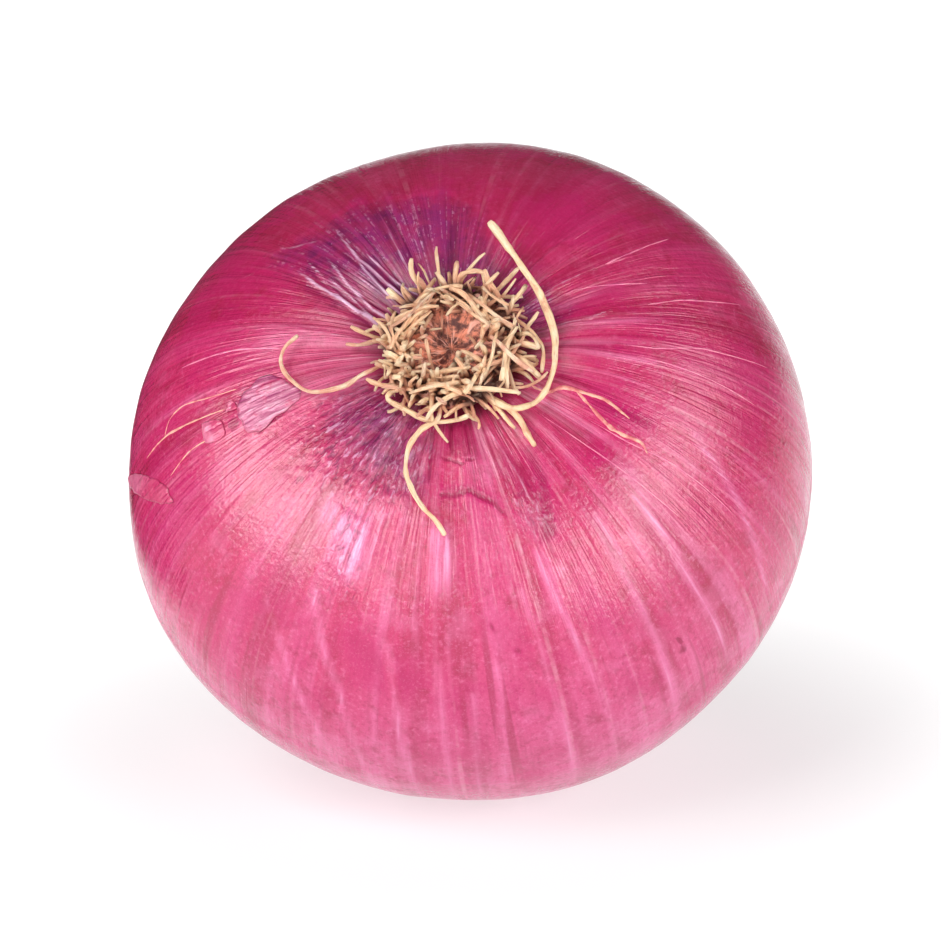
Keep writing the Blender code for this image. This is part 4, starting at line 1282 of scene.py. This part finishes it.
class Nodes:
    """Short calls that add nodes to one tree. A value may be a number, a colour, a vector or a socket."""

    def __init__(self, tree):
        self.tree = tree

    def feed(self, socket, value):
        if isinstance(value, bpy.types.NodeSocket):
            self.tree.links.new(value, socket)
        elif socket.type == "RGBA":
            socket.default_value = (*value, 1.0)
        else:
            socket.default_value = value

    def add(self, kind, feeds=(), **settings):
        """A node of a kind, with its settings, and what feeds its inputs by name or number."""
        node = self.tree.nodes.new("ShaderNode" + kind)
        for name, value in settings.items():
            setattr(node, name, value)
        for name, value in dict(feeds).items():
            self.feed(node.inputs[name], value)
        return node

    def math(self, operation, *values):
        return self.add("Math", enumerate(values), operation=operation).outputs[0]

    def vector(self, operation, *values):
        return self.add("VectorMath", enumerate(values), operation=operation).outputs[0]

    def scaled(self, vector, scale):
        return self.add("VectorMath", {"Vector": vector, "Scale": scale}, operation="SCALE").outputs[0]

    def fade(self, value, low, high, to_low=0.0, to_high=1.0):
        """Value eased from to_low at low to to_high at high."""
        feeds = {"Value": value, "From Min": low, "From Max": high, "To Min": to_low, "To Max": to_high}
        return self.add("MapRange", feeds, interpolation_type="SMOOTHSTEP").outputs["Result"]

    def blend(self, share, below, above, blend_type="MIX"):
        """The colour above over the colour below, by share."""
        node = self.add("Mix", data_type="RGBA", blend_type=blend_type)
        self.feed(node.inputs[0], share)
        self.feed(node.inputs[6], below)
        self.feed(node.inputs[7], above)
        return node.outputs[2]

    def wash(self, colour, above, value, low, high, share=1.0, mask=None):
        """The colour above over colour by the share, where value comes from low to high, within the mask."""
        amount = self.fade(value, low, high, 0.0, share)
        if mask is not None:
            amount = self.math("MULTIPLY", amount, mask)
        return self.blend(amount, colour, above)

    def washed(self, colour, at, washes):
        """The colour under washes, as the tables give them. at holds the patterns and masks by name."""
        for name, low, high, share, above, *masks in washes:
            colour = self.wash(colour, above, at[name], low, high, share, *(at[mask] for mask in masks))
        return colour

    def here(self):
        """The place on the piece, in millimetres."""
        return self.scaled(self.add("TexCoord").outputs["Object"], 1 / MM)

    def noise(self, place, scale, detail=2.0, roughness=0.5):
        feeds = {"Vector": place, "Scale": scale, "Detail": detail, "Roughness": roughness}
        return self.add("TexNoise", feeds).outputs["Fac"]

    def attribute(self, name):
        return self.add("Attribute", attribute_name=name).outputs["Fac"]

    def group(self, tree, **feeds):
        """The outputs of a group of nodes, by name."""
        node = self.tree.nodes.new("ShaderNodeGroup")
        node.node_tree = tree
        for name, value in feeds.items():
            self.feed(node.inputs[name], value)
        return node.outputs


def new_group(name, inputs, outputs):
    """An empty node group with named sockets: its nodes, its inputs and the node that its outputs feed."""
    tree = bpy.data.node_groups.new(name, "ShaderNodeTree")
    for socket, kind, default in inputs:
        made = tree.interface.new_socket(socket, in_out="INPUT", socket_type="NodeSocket" + kind)
        made.default_value = default
    for socket, kind in outputs:
        tree.interface.new_socket(socket, in_out="OUTPUT", socket_type="NodeSocket" + kind)
    given = tree.nodes.new("NodeGroupInput").outputs
    out = tree.nodes.new("NodeGroupOutput").inputs
    return Nodes(tree), given, out


def onion_place_group():
    """Where a point lies on the onion: its place in mm about the onion's axis, its way round the axis as a
    vector one long, and its turn from the root pole."""
    outputs = (("Place", "Vector"), ("Round", "Vector"), ("Turn", "Float"))
    nodes, _, out = new_group("onion_place", (), outputs)
    back = LYING.inverted()
    mapping = nodes.add(
        "Mapping",
        {
            "Vector": nodes.add("TexCoord").outputs["Object"],
            "Location": back.translation / MM,
            "Rotation": back.to_euler(),
            "Scale": (1 / MM, 1 / MM, 1 / MM),
        },
        vector_type="POINT",
    )
    place = mapping.outputs[0]
    parts = nodes.add("SeparateXYZ", {"Vector": place}).outputs
    flat = nodes.add("CombineXYZ", {"X": parts["X"], "Y": parts["Y"]}).outputs[0]
    radius = nodes.add("VectorMath", {"Vector": flat}, operation="LENGTH").outputs["Value"]
    nodes.feed(out["Place"], place)
    nodes.feed(out["Round"], nodes.vector("NORMALIZE", flat))
    nodes.feed(out["Turn"], nodes.math("ARCTAN2", radius, parts["Z"]))
    return nodes.tree


def streaks_group():
    """Noise drawn out from pole to pole: about six times Count streaks round the onion."""
    inputs = (
        ("Round", "Vector", (0, 0, 0)),
        ("Turn", "Float", 0.0),
        ("Count", "Float", 10.0),
        ("Along", "Float", 1.0),
        ("Detail", "Float", 2.0),
        ("Seed", "Float", 0.0),
    )
    nodes, given, out = new_group("pole_streaks", inputs, (("Streaks", "Float"),))
    height = nodes.math("MULTIPLY_ADD", given["Turn"], given["Along"], given["Seed"])
    lifted = nodes.add("CombineXYZ", {"Z": height}).outputs[0]
    place = nodes.vector("ADD", nodes.scaled(given["Round"], given["Count"]), lifted)
    nodes.feed(out["Streaks"], nodes.noise(place, 1.0, given["Detail"]))
    return nodes.tree


def new_material(name):
    """A material with its nodes and its shader."""
    material = bpy.data.materials.new(name)
    material.use_nodes = True
    shader = material.node_tree.nodes["Principled BSDF"]
    return material, Nodes(material.node_tree), shader


def feed_shader(nodes, shader, colour, roughness, height):
    """Gives a shader its colour, its roughness, and the relief of a height in millimetres."""
    nodes.feed(shader.inputs["Base Color"], colour)
    nodes.feed(shader.inputs["Roughness"], roughness)
    bump = nodes.add("Bump", {"Height": height, "Distance": MM})
    nodes.feed(shader.inputs["Normal"], bump.outputs[0])


def skin_patterns(nodes, place_group, streaks):
    """The patterns, marks and masks that make up the skin's colour and relief, by name."""
    found = nodes.group(place_group)
    place, around, turn = found["Place"], found["Round"], found["Turn"]

    def streak(count, along, detail, seed):
        given = {"Count": count, "Along": along, "Detail": detail, "Seed": seed}
        return nodes.group(streaks, Round=around, Turn=turn, **given)[0]

    at = {name: streak(*numbers) for name, numbers in SKIN_STREAKS.items()}
    at |= {name: nodes.noise(place, *numbers) for name, numbers in SKIN_SPOTS.items()}
    at |= {name: nodes.attribute(name) for name in MARKS}
    at["turn"] = turn
    at["glints"] = streak(*GLINT_STREAKS, nodes.math("MULTIPLY_ADD", at["mottle"], *GLINT_SEEDS))
    drawn_out = nodes.vector("ADD", place, nodes.scaled(around, PATCH_LENGTH))
    at["patches"] = nodes.noise(drawn_out, *PATCH_SPOTS)
    along = nodes.add("CombineXYZ", {"Z": nodes.math("MULTIPLY", turn, CRINKLES_ALONG)}).outputs[0]
    creased = nodes.vector("ADD", nodes.scaled(around, CRINKLES_ROUND), along)
    crinkle = nodes.add("TexNoise", {"Vector": creased, "Scale": 1.0, "Detail": 3.0, "Distortion": 0.4})
    at["crinkle"] = crinkle.outputs["Fac"]

    # Painted light: paler towards the lower side that the floor lights, with painted shade on the top
    side = {0: nodes.vector("NORMALIZE", place), 1: PAINTED_LIGHT_SIDE}
    lower = nodes.add("VectorMath", side, operation="DOT_PRODUCT").outputs["Value"]
    at["painted_light"] = nodes.math("MULTIPLY_ADD", at["broad"], PAINTED_LIGHT_UNEVEN, lower)
    at["painted_light_share"] = nodes.fade(at["painted_light"], -0.7, 0.6, 0.20, 1.0)
    at["by_tuft"] = nodes.fade(turn, 0.62, 0.22)
    at["crinkled"] = nodes.fade(at["wrinkled"], -2.0, 3.0)
    return at


def ground_colour(nodes, at):
    """Crimson, streaked, mottled and veined: painted light makes it pink on its lower side, which the floor
    lights, and painted shade leaves it deep crimson on top.
    """
    colour = nodes.wash(DEEP_CRIMSON, CRIMSON, at["painted_light"], -0.85, -0.15)
    colour = nodes.washed(colour, at, GROUND_WASHES)
    patchy = nodes.fade(at["mottle"], 0.30, 0.70)
    veins = nodes.math("MULTIPLY", nodes.fade(at["pale_lines"], 0.68, 0.80), patchy)
    veins = nodes.math("MULTIPLY", nodes.math("MULTIPLY", veins, at["painted_light_share"]), 0.45)
    colour = nodes.blend(veins, colour, VEIN_PINK)
    dark_lines = nodes.math("MULTIPLY", nodes.fade(at["dark_lines"], 0.27, 0.18), 0.5)
    return nodes.blend(dark_lines, colour, DEEP_CRIMSON)


def marked_colour(nodes, at, colour):
    """The skin with its pale and its dark marks: the strongest pale ones whiten to lilac as painted
    highlights, and the wide dark ones below the highlights are painted shade.
    """
    touched = nodes.math("MULTIPLY", at["tint"], nodes.fade(at["fine"], 0.3, 0.7, 0.3, 1.5))
    paler = nodes.math("MAXIMUM", nodes.math("MULTIPLY", touched, 0.6), 0.0)
    colour = nodes.blend(paler, colour, nodes.blend(at["by_tuft"], PALE_PINK, PLEAT_PINK))
    # Painted highlight: where a pale mark is strongest it whitens to lilac
    colour = nodes.wash(colour, LILAC_GLINT, touched, 0.7, 1.6, 0.5)
    return nodes.washed(colour, at, DARK_MARK_WASHES)


def bared_colour(nodes, at, colour):
    """The skin with the purple layer that shows where the outer one is torn off, flecked with painted lilac
    glints, and how far it shows.
    """
    ragged = nodes.math("MULTIPLY", nodes.math("SUBTRACT", at["ragged"], 0.5), 7.0)
    bared = nodes.math("ADD", at["bared"], ragged)
    uneven = nodes.fade(at["mottle"], 0.68, 0.38, 0.50, 1.0)
    bared_share = nodes.math("MULTIPLY", nodes.fade(bared, -2.0, 4.6), uneven)
    purple = nodes.wash(DEEP_PURPLE, PURPLE, at["fine"], 0.35, 0.6)
    grainy = nodes.fade(at["grain"], 0.42, 0.56)
    glints = nodes.math("MULTIPLY", nodes.fade(at["glints"], 0.54, 0.72), grainy)
    purple = nodes.blend(nodes.math("MULTIPLY", glints, 0.52), purple, LILAC_GLINT)
    return nodes.blend(bared_share, colour, purple), bared_share


def folded_colour(nodes, at, colour, bared_share):
    """The skin with its pleats round the tuft, its folds and its crinkles: painted shade in the pleats'
    furrows, under the roots round the plate, in the grooves and creases and in the crinkles' furrows, with
    painted highlights on the crinkles' ridges.
    """
    pleats = nodes.math("MULTIPLY", nodes.fade(at["pleats"], 0.54, 0.70, 0.0, 0.65), at["by_tuft"])
    pleats = nodes.math("MULTIPLY", pleats, nodes.fade(bared_share, 0.0, 1.0, 1.0, 0.30))
    colour = nodes.blend(pleats, colour, PLEAT_PINK)
    # Painted shade: dark in the pleats' furrows, and round the plate where the roots shade the skin
    colour = nodes.wash(colour, PLEAT_AND_TUFT_SHADE, at["pleats"], 0.48, 0.30, 0.85, at["by_tuft"])
    colour = nodes.wash(colour, PLEAT_AND_TUFT_SHADE, at["turn"], 0.31, 0.22, 0.85)
    fold = nodes.math("MULTIPLY", at["fold"], nodes.fade(at["mottle"], 0.35, 0.62, 1.15, 0.75))
    # Painted shade in the shallow grooves beside the folds and in the creases, where the fold is below 0
    groove = nodes.blend(bared_share, SPOT_RED, DEEP_PURPLE)
    colour = nodes.wash(colour, groove, fold, -0.03, -0.20, 0.80)
    colour = nodes.wash(colour, FOLD_LILAC, fold, 0.30, 1.15, 0.90)
    # Painted highlights on the crinkles' ridges and painted shade in their furrows
    ridge_glints = nodes.math("MULTIPLY", nodes.fade(at["crinkle"], 0.55, 0.68), at["crinkled"])
    colour = nodes.blend(nodes.math("MULTIPLY", ridge_glints, 0.50), colour, LILAC_GLINT)
    furrow_shade = nodes.math("MULTIPLY", nodes.fade(at["crinkle"], 0.46, 0.34), at["crinkled"])
    return nodes.blend(nodes.math("MULTIPLY", furrow_shade, 0.55), colour, DEEP_PURPLE)


def dried_colour(nodes, at, colour):
    """The skin as it dries to brown paper towards the neck, and how dry it is."""
    uneven = nodes.fade(at["drying"], 0.3, 0.7, -0.30, 0.30)
    drying = nodes.math("ADD", nodes.fade(at["turn"], *DRY_TURNS), uneven)
    dry = nodes.fade(drying, 0.50, 1.15)
    colour = nodes.wash(colour, nodes.blend(at["mottle"], DRY_ROSE, DRY_RED), drying, 0.30, 0.85, 0.85)
    paper = nodes.wash(DRY_BROWN, DRY_TAN, at["fine"], 0.35, 0.70)
    return nodes.blend(nodes.math("MULTIPLY", dry, 0.85), colour, paper), dry


def skin_material(place_group, streaks):
    """Crimson and magenta skin, streaked from pole to pole, with the purple layer under its torn one."""
    material, nodes, shader = new_material("red_skin")
    at = skin_patterns(nodes, place_group, streaks)
    colour = marked_colour(nodes, at, ground_colour(nodes, at))
    colour, bared_share = bared_colour(nodes, at, colour)
    colour = nodes.washed(colour, at, SPECK_WASHES)
    colour = folded_colour(nodes, at, colour, bared_share)
    colour, dry = dried_colour(nodes, at, colour)

    roughness = nodes.fade(at["fine"], 0.3, 0.7, 0.09, 0.17)
    roughness = nodes.math("MULTIPLY_ADD", nodes.fade(at["mottle"], 0.4, 0.7), 0.10, roughness)
    roughness = nodes.math("MULTIPLY_ADD", dry, 0.28, roughness)

    (first, share), *others = SKIN_BUMPS.items()
    height = nodes.math("MULTIPLY", at[first], share)
    for name, share in others:
        height = nodes.math("MULTIPLY_ADD", at[name], share, height)
    pleats = nodes.math("MULTIPLY", at["pleats"], at["by_tuft"])
    height = nodes.math("MULTIPLY_ADD", pleats, PLEAT_BUMP, height)
    crinkles = nodes.math("MULTIPLY", at["crinkle"], at["crinkled"])
    height = nodes.math("MULTIPLY_ADD", crinkles, CRINKLE_BUMP, height)
    feed_shader(nodes, shader, colour, roughness, height)
    return material


def root_material():
    """Golden dry roots: reddish brown to near black low over the plate, where they are browned and painted
    with shade, wrinkled lengthwise, some with pale clipped tips.
    """
    material, nodes, shader = new_material("dry_root")
    place = nodes.here()
    along, tone = nodes.attribute("along"), nodes.attribute("tone")
    strand = nodes.add("Attribute", attribute_name="strand").outputs["Vector"]
    drawn_out = {"Vector": strand, "Scale": (1.6, 1.6, 0.55)}
    stretch = nodes.add("Mapping", drawn_out, vector_type="POINT").outputs[0]
    shift = nodes.add("CombineXYZ", {"X": nodes.math("MULTIPLY", tone, 31.0)}).outputs[0]
    blotches = nodes.noise(place, 0.55, 3.0, 0.6)
    wrinkles = nodes.noise(nodes.vector("ADD", stretch, shift), 1.0, 4.0, 0.6)
    at = {"tone": tone, "blotches": blotches, "wrinkles": wrinkles, "pale": nodes.attribute("pale")}
    colour = nodes.wash(ROOT_TAN, ROOT_GOLD, tone, 0.15, 0.85)
    colour = nodes.washed(colour, at, ROOT_WASHES)
    pale_tip = nodes.math("MULTIPLY", nodes.fade(along, 0.8, 1.0), nodes.fade(tone, 0.5, 0.8, 0.0, 0.5))
    whitish = nodes.math("MULTIPLY", nodes.fade(along, 0.2, 0.6), nodes.fade(tone, 1.0, 1.1, 0.0, 0.65))
    colour = nodes.blend(nodes.math("MAXIMUM", pale_tip, whitish), colour, ROOT_CREAM)
    fine_grain = nodes.math("MULTIPLY", nodes.noise(place, 3.0, 3.0, 0.6), 0.10)
    height = nodes.math("MULTIPLY_ADD", wrinkles, 0.35, fine_grain)
    feed_shader(nodes, shader, colour, nodes.fade(blotches, 0.3, 0.7, 0.42, 0.65), height)
    return material


def cork_material(place_group, streaks):
    """The reddish-brown plate, rough and broken like cork, with pinkish fibres out from its middle."""
    material, nodes, shader = new_material("root_cork")
    found = nodes.group(place_group)
    lumps = nodes.noise(nodes.here(), 1.1, 4.0, 0.65)
    given = {"Count": 5.0, "Along": 14.0, "Detail": 4.0}
    spokes = nodes.group(streaks, Round=found["Round"], Turn=found["Turn"], **given)[0]
    colour = nodes.wash(CORK_DARK, CORK, lumps, 0.38, 0.62)
    colour = nodes.wash(colour, CORK_DARK, spokes, 0.46, 0.34, 0.8)
    colour = nodes.wash(colour, CORK_PALE, spokes, 0.53, 0.66)
    height = nodes.math("MULTIPLY_ADD", spokes, 0.5, nodes.math("MULTIPLY", lumps, 0.4))
    feed_shader(nodes, shader, colour, nodes.fade(lumps, 0.3, 0.7, 0.6, 0.8), height)
    return material


def paper_material():
    """Dry papery leaf ends: straw and tan fibres lengthwise, with some of the skin's red left."""
    material, nodes, shader = new_material("neck_paper")
    along, across = nodes.attribute("along"), nodes.attribute("tone")
    place = nodes.here()
    strand = nodes.add("CombineXYZ", {"X": nodes.math("MULTIPLY", across, 9.0), "Y": along}).outputs[0]
    strands = nodes.noise(strand, 1.6, 4.0, 0.6)
    blotches = nodes.noise(place, 0.35, 3.0, 0.6)
    colour = nodes.wash(PAPER_BROWN, PAPER_STRAW, strands, 0.35, 0.65)
    colour = nodes.wash(colour, PAPER_RED, blotches, 0.48, 0.68, 0.75)
    colour = nodes.wash(colour, PAPER_STRAW, along, 0.5, 1.0, 0.5)
    crumple = nodes.noise(place, 1.5, 3.0, 0.6)
    height = nodes.math("MULTIPLY_ADD", crumple, 0.10, nodes.math("MULTIPLY", strands, 0.15))
    feed_shader(nodes, shader, colour, nodes.fade(strands, 0.3, 0.7, 0.55, 0.75), height)
    return material


def line_material():
    """The thin lines on the skin: orange fibres, and veins a little paler than the skin, by their tone."""
    material, nodes, shader = new_material("skin_line")
    tone = nodes.attribute("tone")
    patches = nodes.noise(nodes.here(), 0.6, 3.0, 0.6)
    pale = nodes.blend(tone, FIBRE_ORANGE, VEIN_ROSE)
    colour = nodes.wash(nodes.blend(tone, FIBRE_RED, PINK), pale, patches, 0.38, 0.58)
    height = nodes.math("MULTIPLY", patches, 0.1)
    feed_shader(nodes, shader, colour, nodes.fade(patches, 0.3, 0.7, 0.3, 0.45), height)
    return material


def scrap_material(place_group, streaks):
    """A loose scrap of the outermost skin, thin and glossy: pale where it is torn, else grown in."""
    material, nodes, shader = new_material("loose_scrap")
    found = nodes.group(place_group)
    given = {"Count": 46.0, "Along": 9.0, "Seed": 23.0}
    fine = nodes.group(streaks, Round=found["Round"], Turn=found["Turn"], **given)[0]
    patches = nodes.noise(found["Place"], 0.7, 3.0, 0.6)
    along, tone = nodes.attribute("along"), nodes.attribute("tone")
    strand = nodes.add("Attribute", attribute_name="strand").outputs["Vector"]
    raised = nodes.add("SeparateXYZ", {"Vector": strand}).outputs["X"]
    lilac = nodes.wash(SCRAP_PURPLE, SCRAP_LILAC, fine, 0.34, 0.46)
    lilac = nodes.wash(lilac, SCRAP_WHITE, fine, 0.55, 0.68)
    rose = nodes.wash(SCRAP_ROSE, SCRAP_PEACH, patches, 0.35, 0.60)
    colour = nodes.blend(tone, lilac, rose)
    colour = nodes.wash(colour, CRIMSON, patches, 0.52, 0.70, 0.65)
    torn_edge = nodes.math("MULTIPLY", nodes.fade(along, 0.86, 1.0), nodes.fade(raised, 0.0, 0.4))
    colour = nodes.blend(nodes.math("MULTIPLY", torn_edge, 0.6), colour, SCRAP_PEACH)
    grown_in = nodes.math("MULTIPLY", nodes.fade(raised, 0.25, -0.25), nodes.fade(tone, 0.2, 0.6, 0.0, 0.75))
    colour = nodes.blend(grown_in, colour, CRIMSON)
    height = nodes.math("MULTIPLY_ADD", fine, 0.30, nodes.math("MULTIPLY", patches, 0.2))
    feed_shader(nodes, shader, colour, nodes.fade(fine, 0.3, 0.7, 0.22, 0.38), height)
    return material


def way_from(azimuth, elevation):
    """The way from the onion to a place round it: azimuth 0 is in front, on the -Y side."""
    level = math.cos(elevation)
    return Vector((math.sin(azimuth) * level, -math.cos(azimuth) * level, math.sin(elevation)))


def link_new(name, data, place, turn):
    """A camera or a light at a place, turned so."""
    made = bpy.data.objects.new(name, data)
    made.matrix_world = Matrix.Translation(place) @ turn
    bpy.context.scene.collection.objects.link(made)
    return made


def facing(way):
    """The turn of a camera or a light that looks against a way."""
    return way.to_track_quat("Z", "Y").to_matrix().to_4x4()


def set_camera():
    """The camera, at the photograph's viewing angle."""
    camera = bpy.data.cameras.new("camera")
    camera.lens = camera.sensor_width * VIEW_DISTANCE / VIEW_WIDTH
    back = way_from(VIEW_AZIMUTH, VIEW_ELEVATION)
    aim = LYING.translation + Vector((0, 0, VIEW_SHIFT_UP))
    bpy.context.scene.camera = link_new("camera", camera, aim + back * VIEW_DISTANCE, facing(back))


def soft_light(name, width, height, radiance):
    """The data of an even light of a size."""
    light = bpy.data.lights.new(name, "AREA")
    light.shape = "RECTANGLE"
    light.size, light.size_y = width, height
    light.energy = radiance * math.pi * width * height
    return light


def add_light(name, azimuth, elevation, distance, size, radiance):
    """A soft box that faces the onion."""
    way = way_from(math.radians(azimuth), math.radians(elevation))
    light = soft_light(name, *size, radiance)
    made = link_new(name, light, LYING.translation + way * distance, facing(way))
    made.visible_camera = False
    return made


def add_card(name, azimuth, near, far, width, radiance):
    """A lit card that lies on the floor and faces up."""
    place = way_from(math.radians(azimuth), 0) * (near + far) / 2
    turn = Matrix.Rotation(math.radians(azimuth), 4, "Z") @ Matrix.Rotation(math.pi, 4, "X")
    light = soft_light(name, width, far - near, radiance)
    card = link_new(name, light, place + Vector((0, 0, CARD_HEIGHT)), turn)
    card.visible_camera = False
    card.visible_diffuse = False


def stage_piece(name, bm, material):
    """The mesh of bm as a thing of the stage, which is no part of the onion."""
    mesh = bpy.data.meshes.new(name)
    bm.to_mesh(mesh)
    bm.free()
    mesh.materials.append(material)
    made = bpy.data.objects.new(name, mesh)
    bpy.context.scene.collection.objects.link(made)
    return made


def add_flag():
    """A dark card that stands beside the onion, out of the picture, and shows in its skin alone."""
    bm = bmesh.new()
    bmesh.ops.create_grid(bm, x_segments=1, y_segments=1, size=1.0)
    near, far, height = FLAG_SPAN
    for vert in bm.verts:
        along, up = (vert.co.x + 1) / 2, (vert.co.y + 1) / 2
        vert.co = Vector((FLAG_PLACE, near + (far - near) * along, height * up))
    material, nodes, shader = new_material("flag_cloth")
    grain = nodes.noise(nodes.add("TexCoord").outputs["Object"], 60.0)
    nodes.feed(shader.inputs["Base Color"], nodes.blend(grain, FLAG_DARK, FLAG_RED))
    shader.inputs["Roughness"].default_value = 0.9
    flag = stage_piece("dark_flag", bm, material)
    flag.visible_camera = False
    flag.visible_diffuse = False
    flag.visible_shadow = False


def set_world():
    """Soft light from all round, dim overhead and in front."""
    world = bpy.data.worlds.new("studio")
    bpy.context.scene.world = world
    world.use_nodes = True
    nodes = Nodes(world.node_tree)
    way = nodes.add("SeparateXYZ", {"Vector": nodes.add("TexCoord").outputs["Generated"]}).outputs
    behind = nodes.math("MULTIPLY_ADD", way["X"], -0.25, way["Y"])
    level = nodes.wash(SKY_BEHIND, SKY_IN_FRONT, behind, -0.4, 0.6)
    colour = nodes.wash(level, SKY_OVERHEAD, way["Z"], 0.0, 0.7)
    background = world.node_tree.nodes["Background"]
    nodes.feed(background.inputs["Color"], colour)
    background.inputs["Strength"].default_value = SKY_STRENGTH


def make_floor():
    """A plain white floor that glows a little, as a lit studio sweep does."""
    bm = bmesh.new()
    bmesh.ops.create_circle(bm, cap_ends=True, segments=96, radius=FLOOR_RADIUS)
    material, nodes, shader = new_material("white_floor")
    place = nodes.add("TexCoord").outputs["Object"]
    grain = nodes.noise(place, 40.0, 3.0)
    nodes.feed(shader.inputs["Base Color"], nodes.blend(grain, *FLOOR_GREYS))
    shader.inputs["Roughness"].default_value = 0.8
    shader.inputs["Specular IOR Level"].default_value = 0.1
    from_onion = nodes.add("VectorMath", {0: place}, operation="LENGTH").outputs["Value"]
    # Painted light: weak glow near the onion, where its shadow shows, stronger farther off over the key's
    # shadow
    glow = nodes.fade(from_onion, *GLOW_REACHES, *GLOW_STRENGTHS)
    white = nodes.add("CombineColor", {"Red": glow, "Green": glow, "Blue": glow}).outputs[0]
    nodes.feed(shader.inputs["Emission Color"], white)
    shader.inputs["Emission Strength"].default_value = 1.0
    stage_piece("floor", bm, material)


def set_stage():
    """The camera, the sky, the floor, and all that lights the onion or shows in its gloss."""
    bpy.context.scene.view_settings.view_transform = "Standard"
    set_camera()
    set_world()
    make_floor()
    add_flag()
    for name, box in FILLS.items():
        add_light(name, *box).visible_glossy = False
    for name, box in SHINES.items():
        add_light(name, *box).visible_diffuse = False
    for name, card in CARDS.items():
        add_card(name, *card)


set_stage()
place_group, streaks = onion_place_group(), streaks_group()
make_skin(skin_material(place_group, streaks))
make_lines(line_material())
make_scraps(scrap_material(place_group, streaks))
make_plate(cork_material(place_group, streaks))
make_tuft(root_material())
make_neck(paper_material())
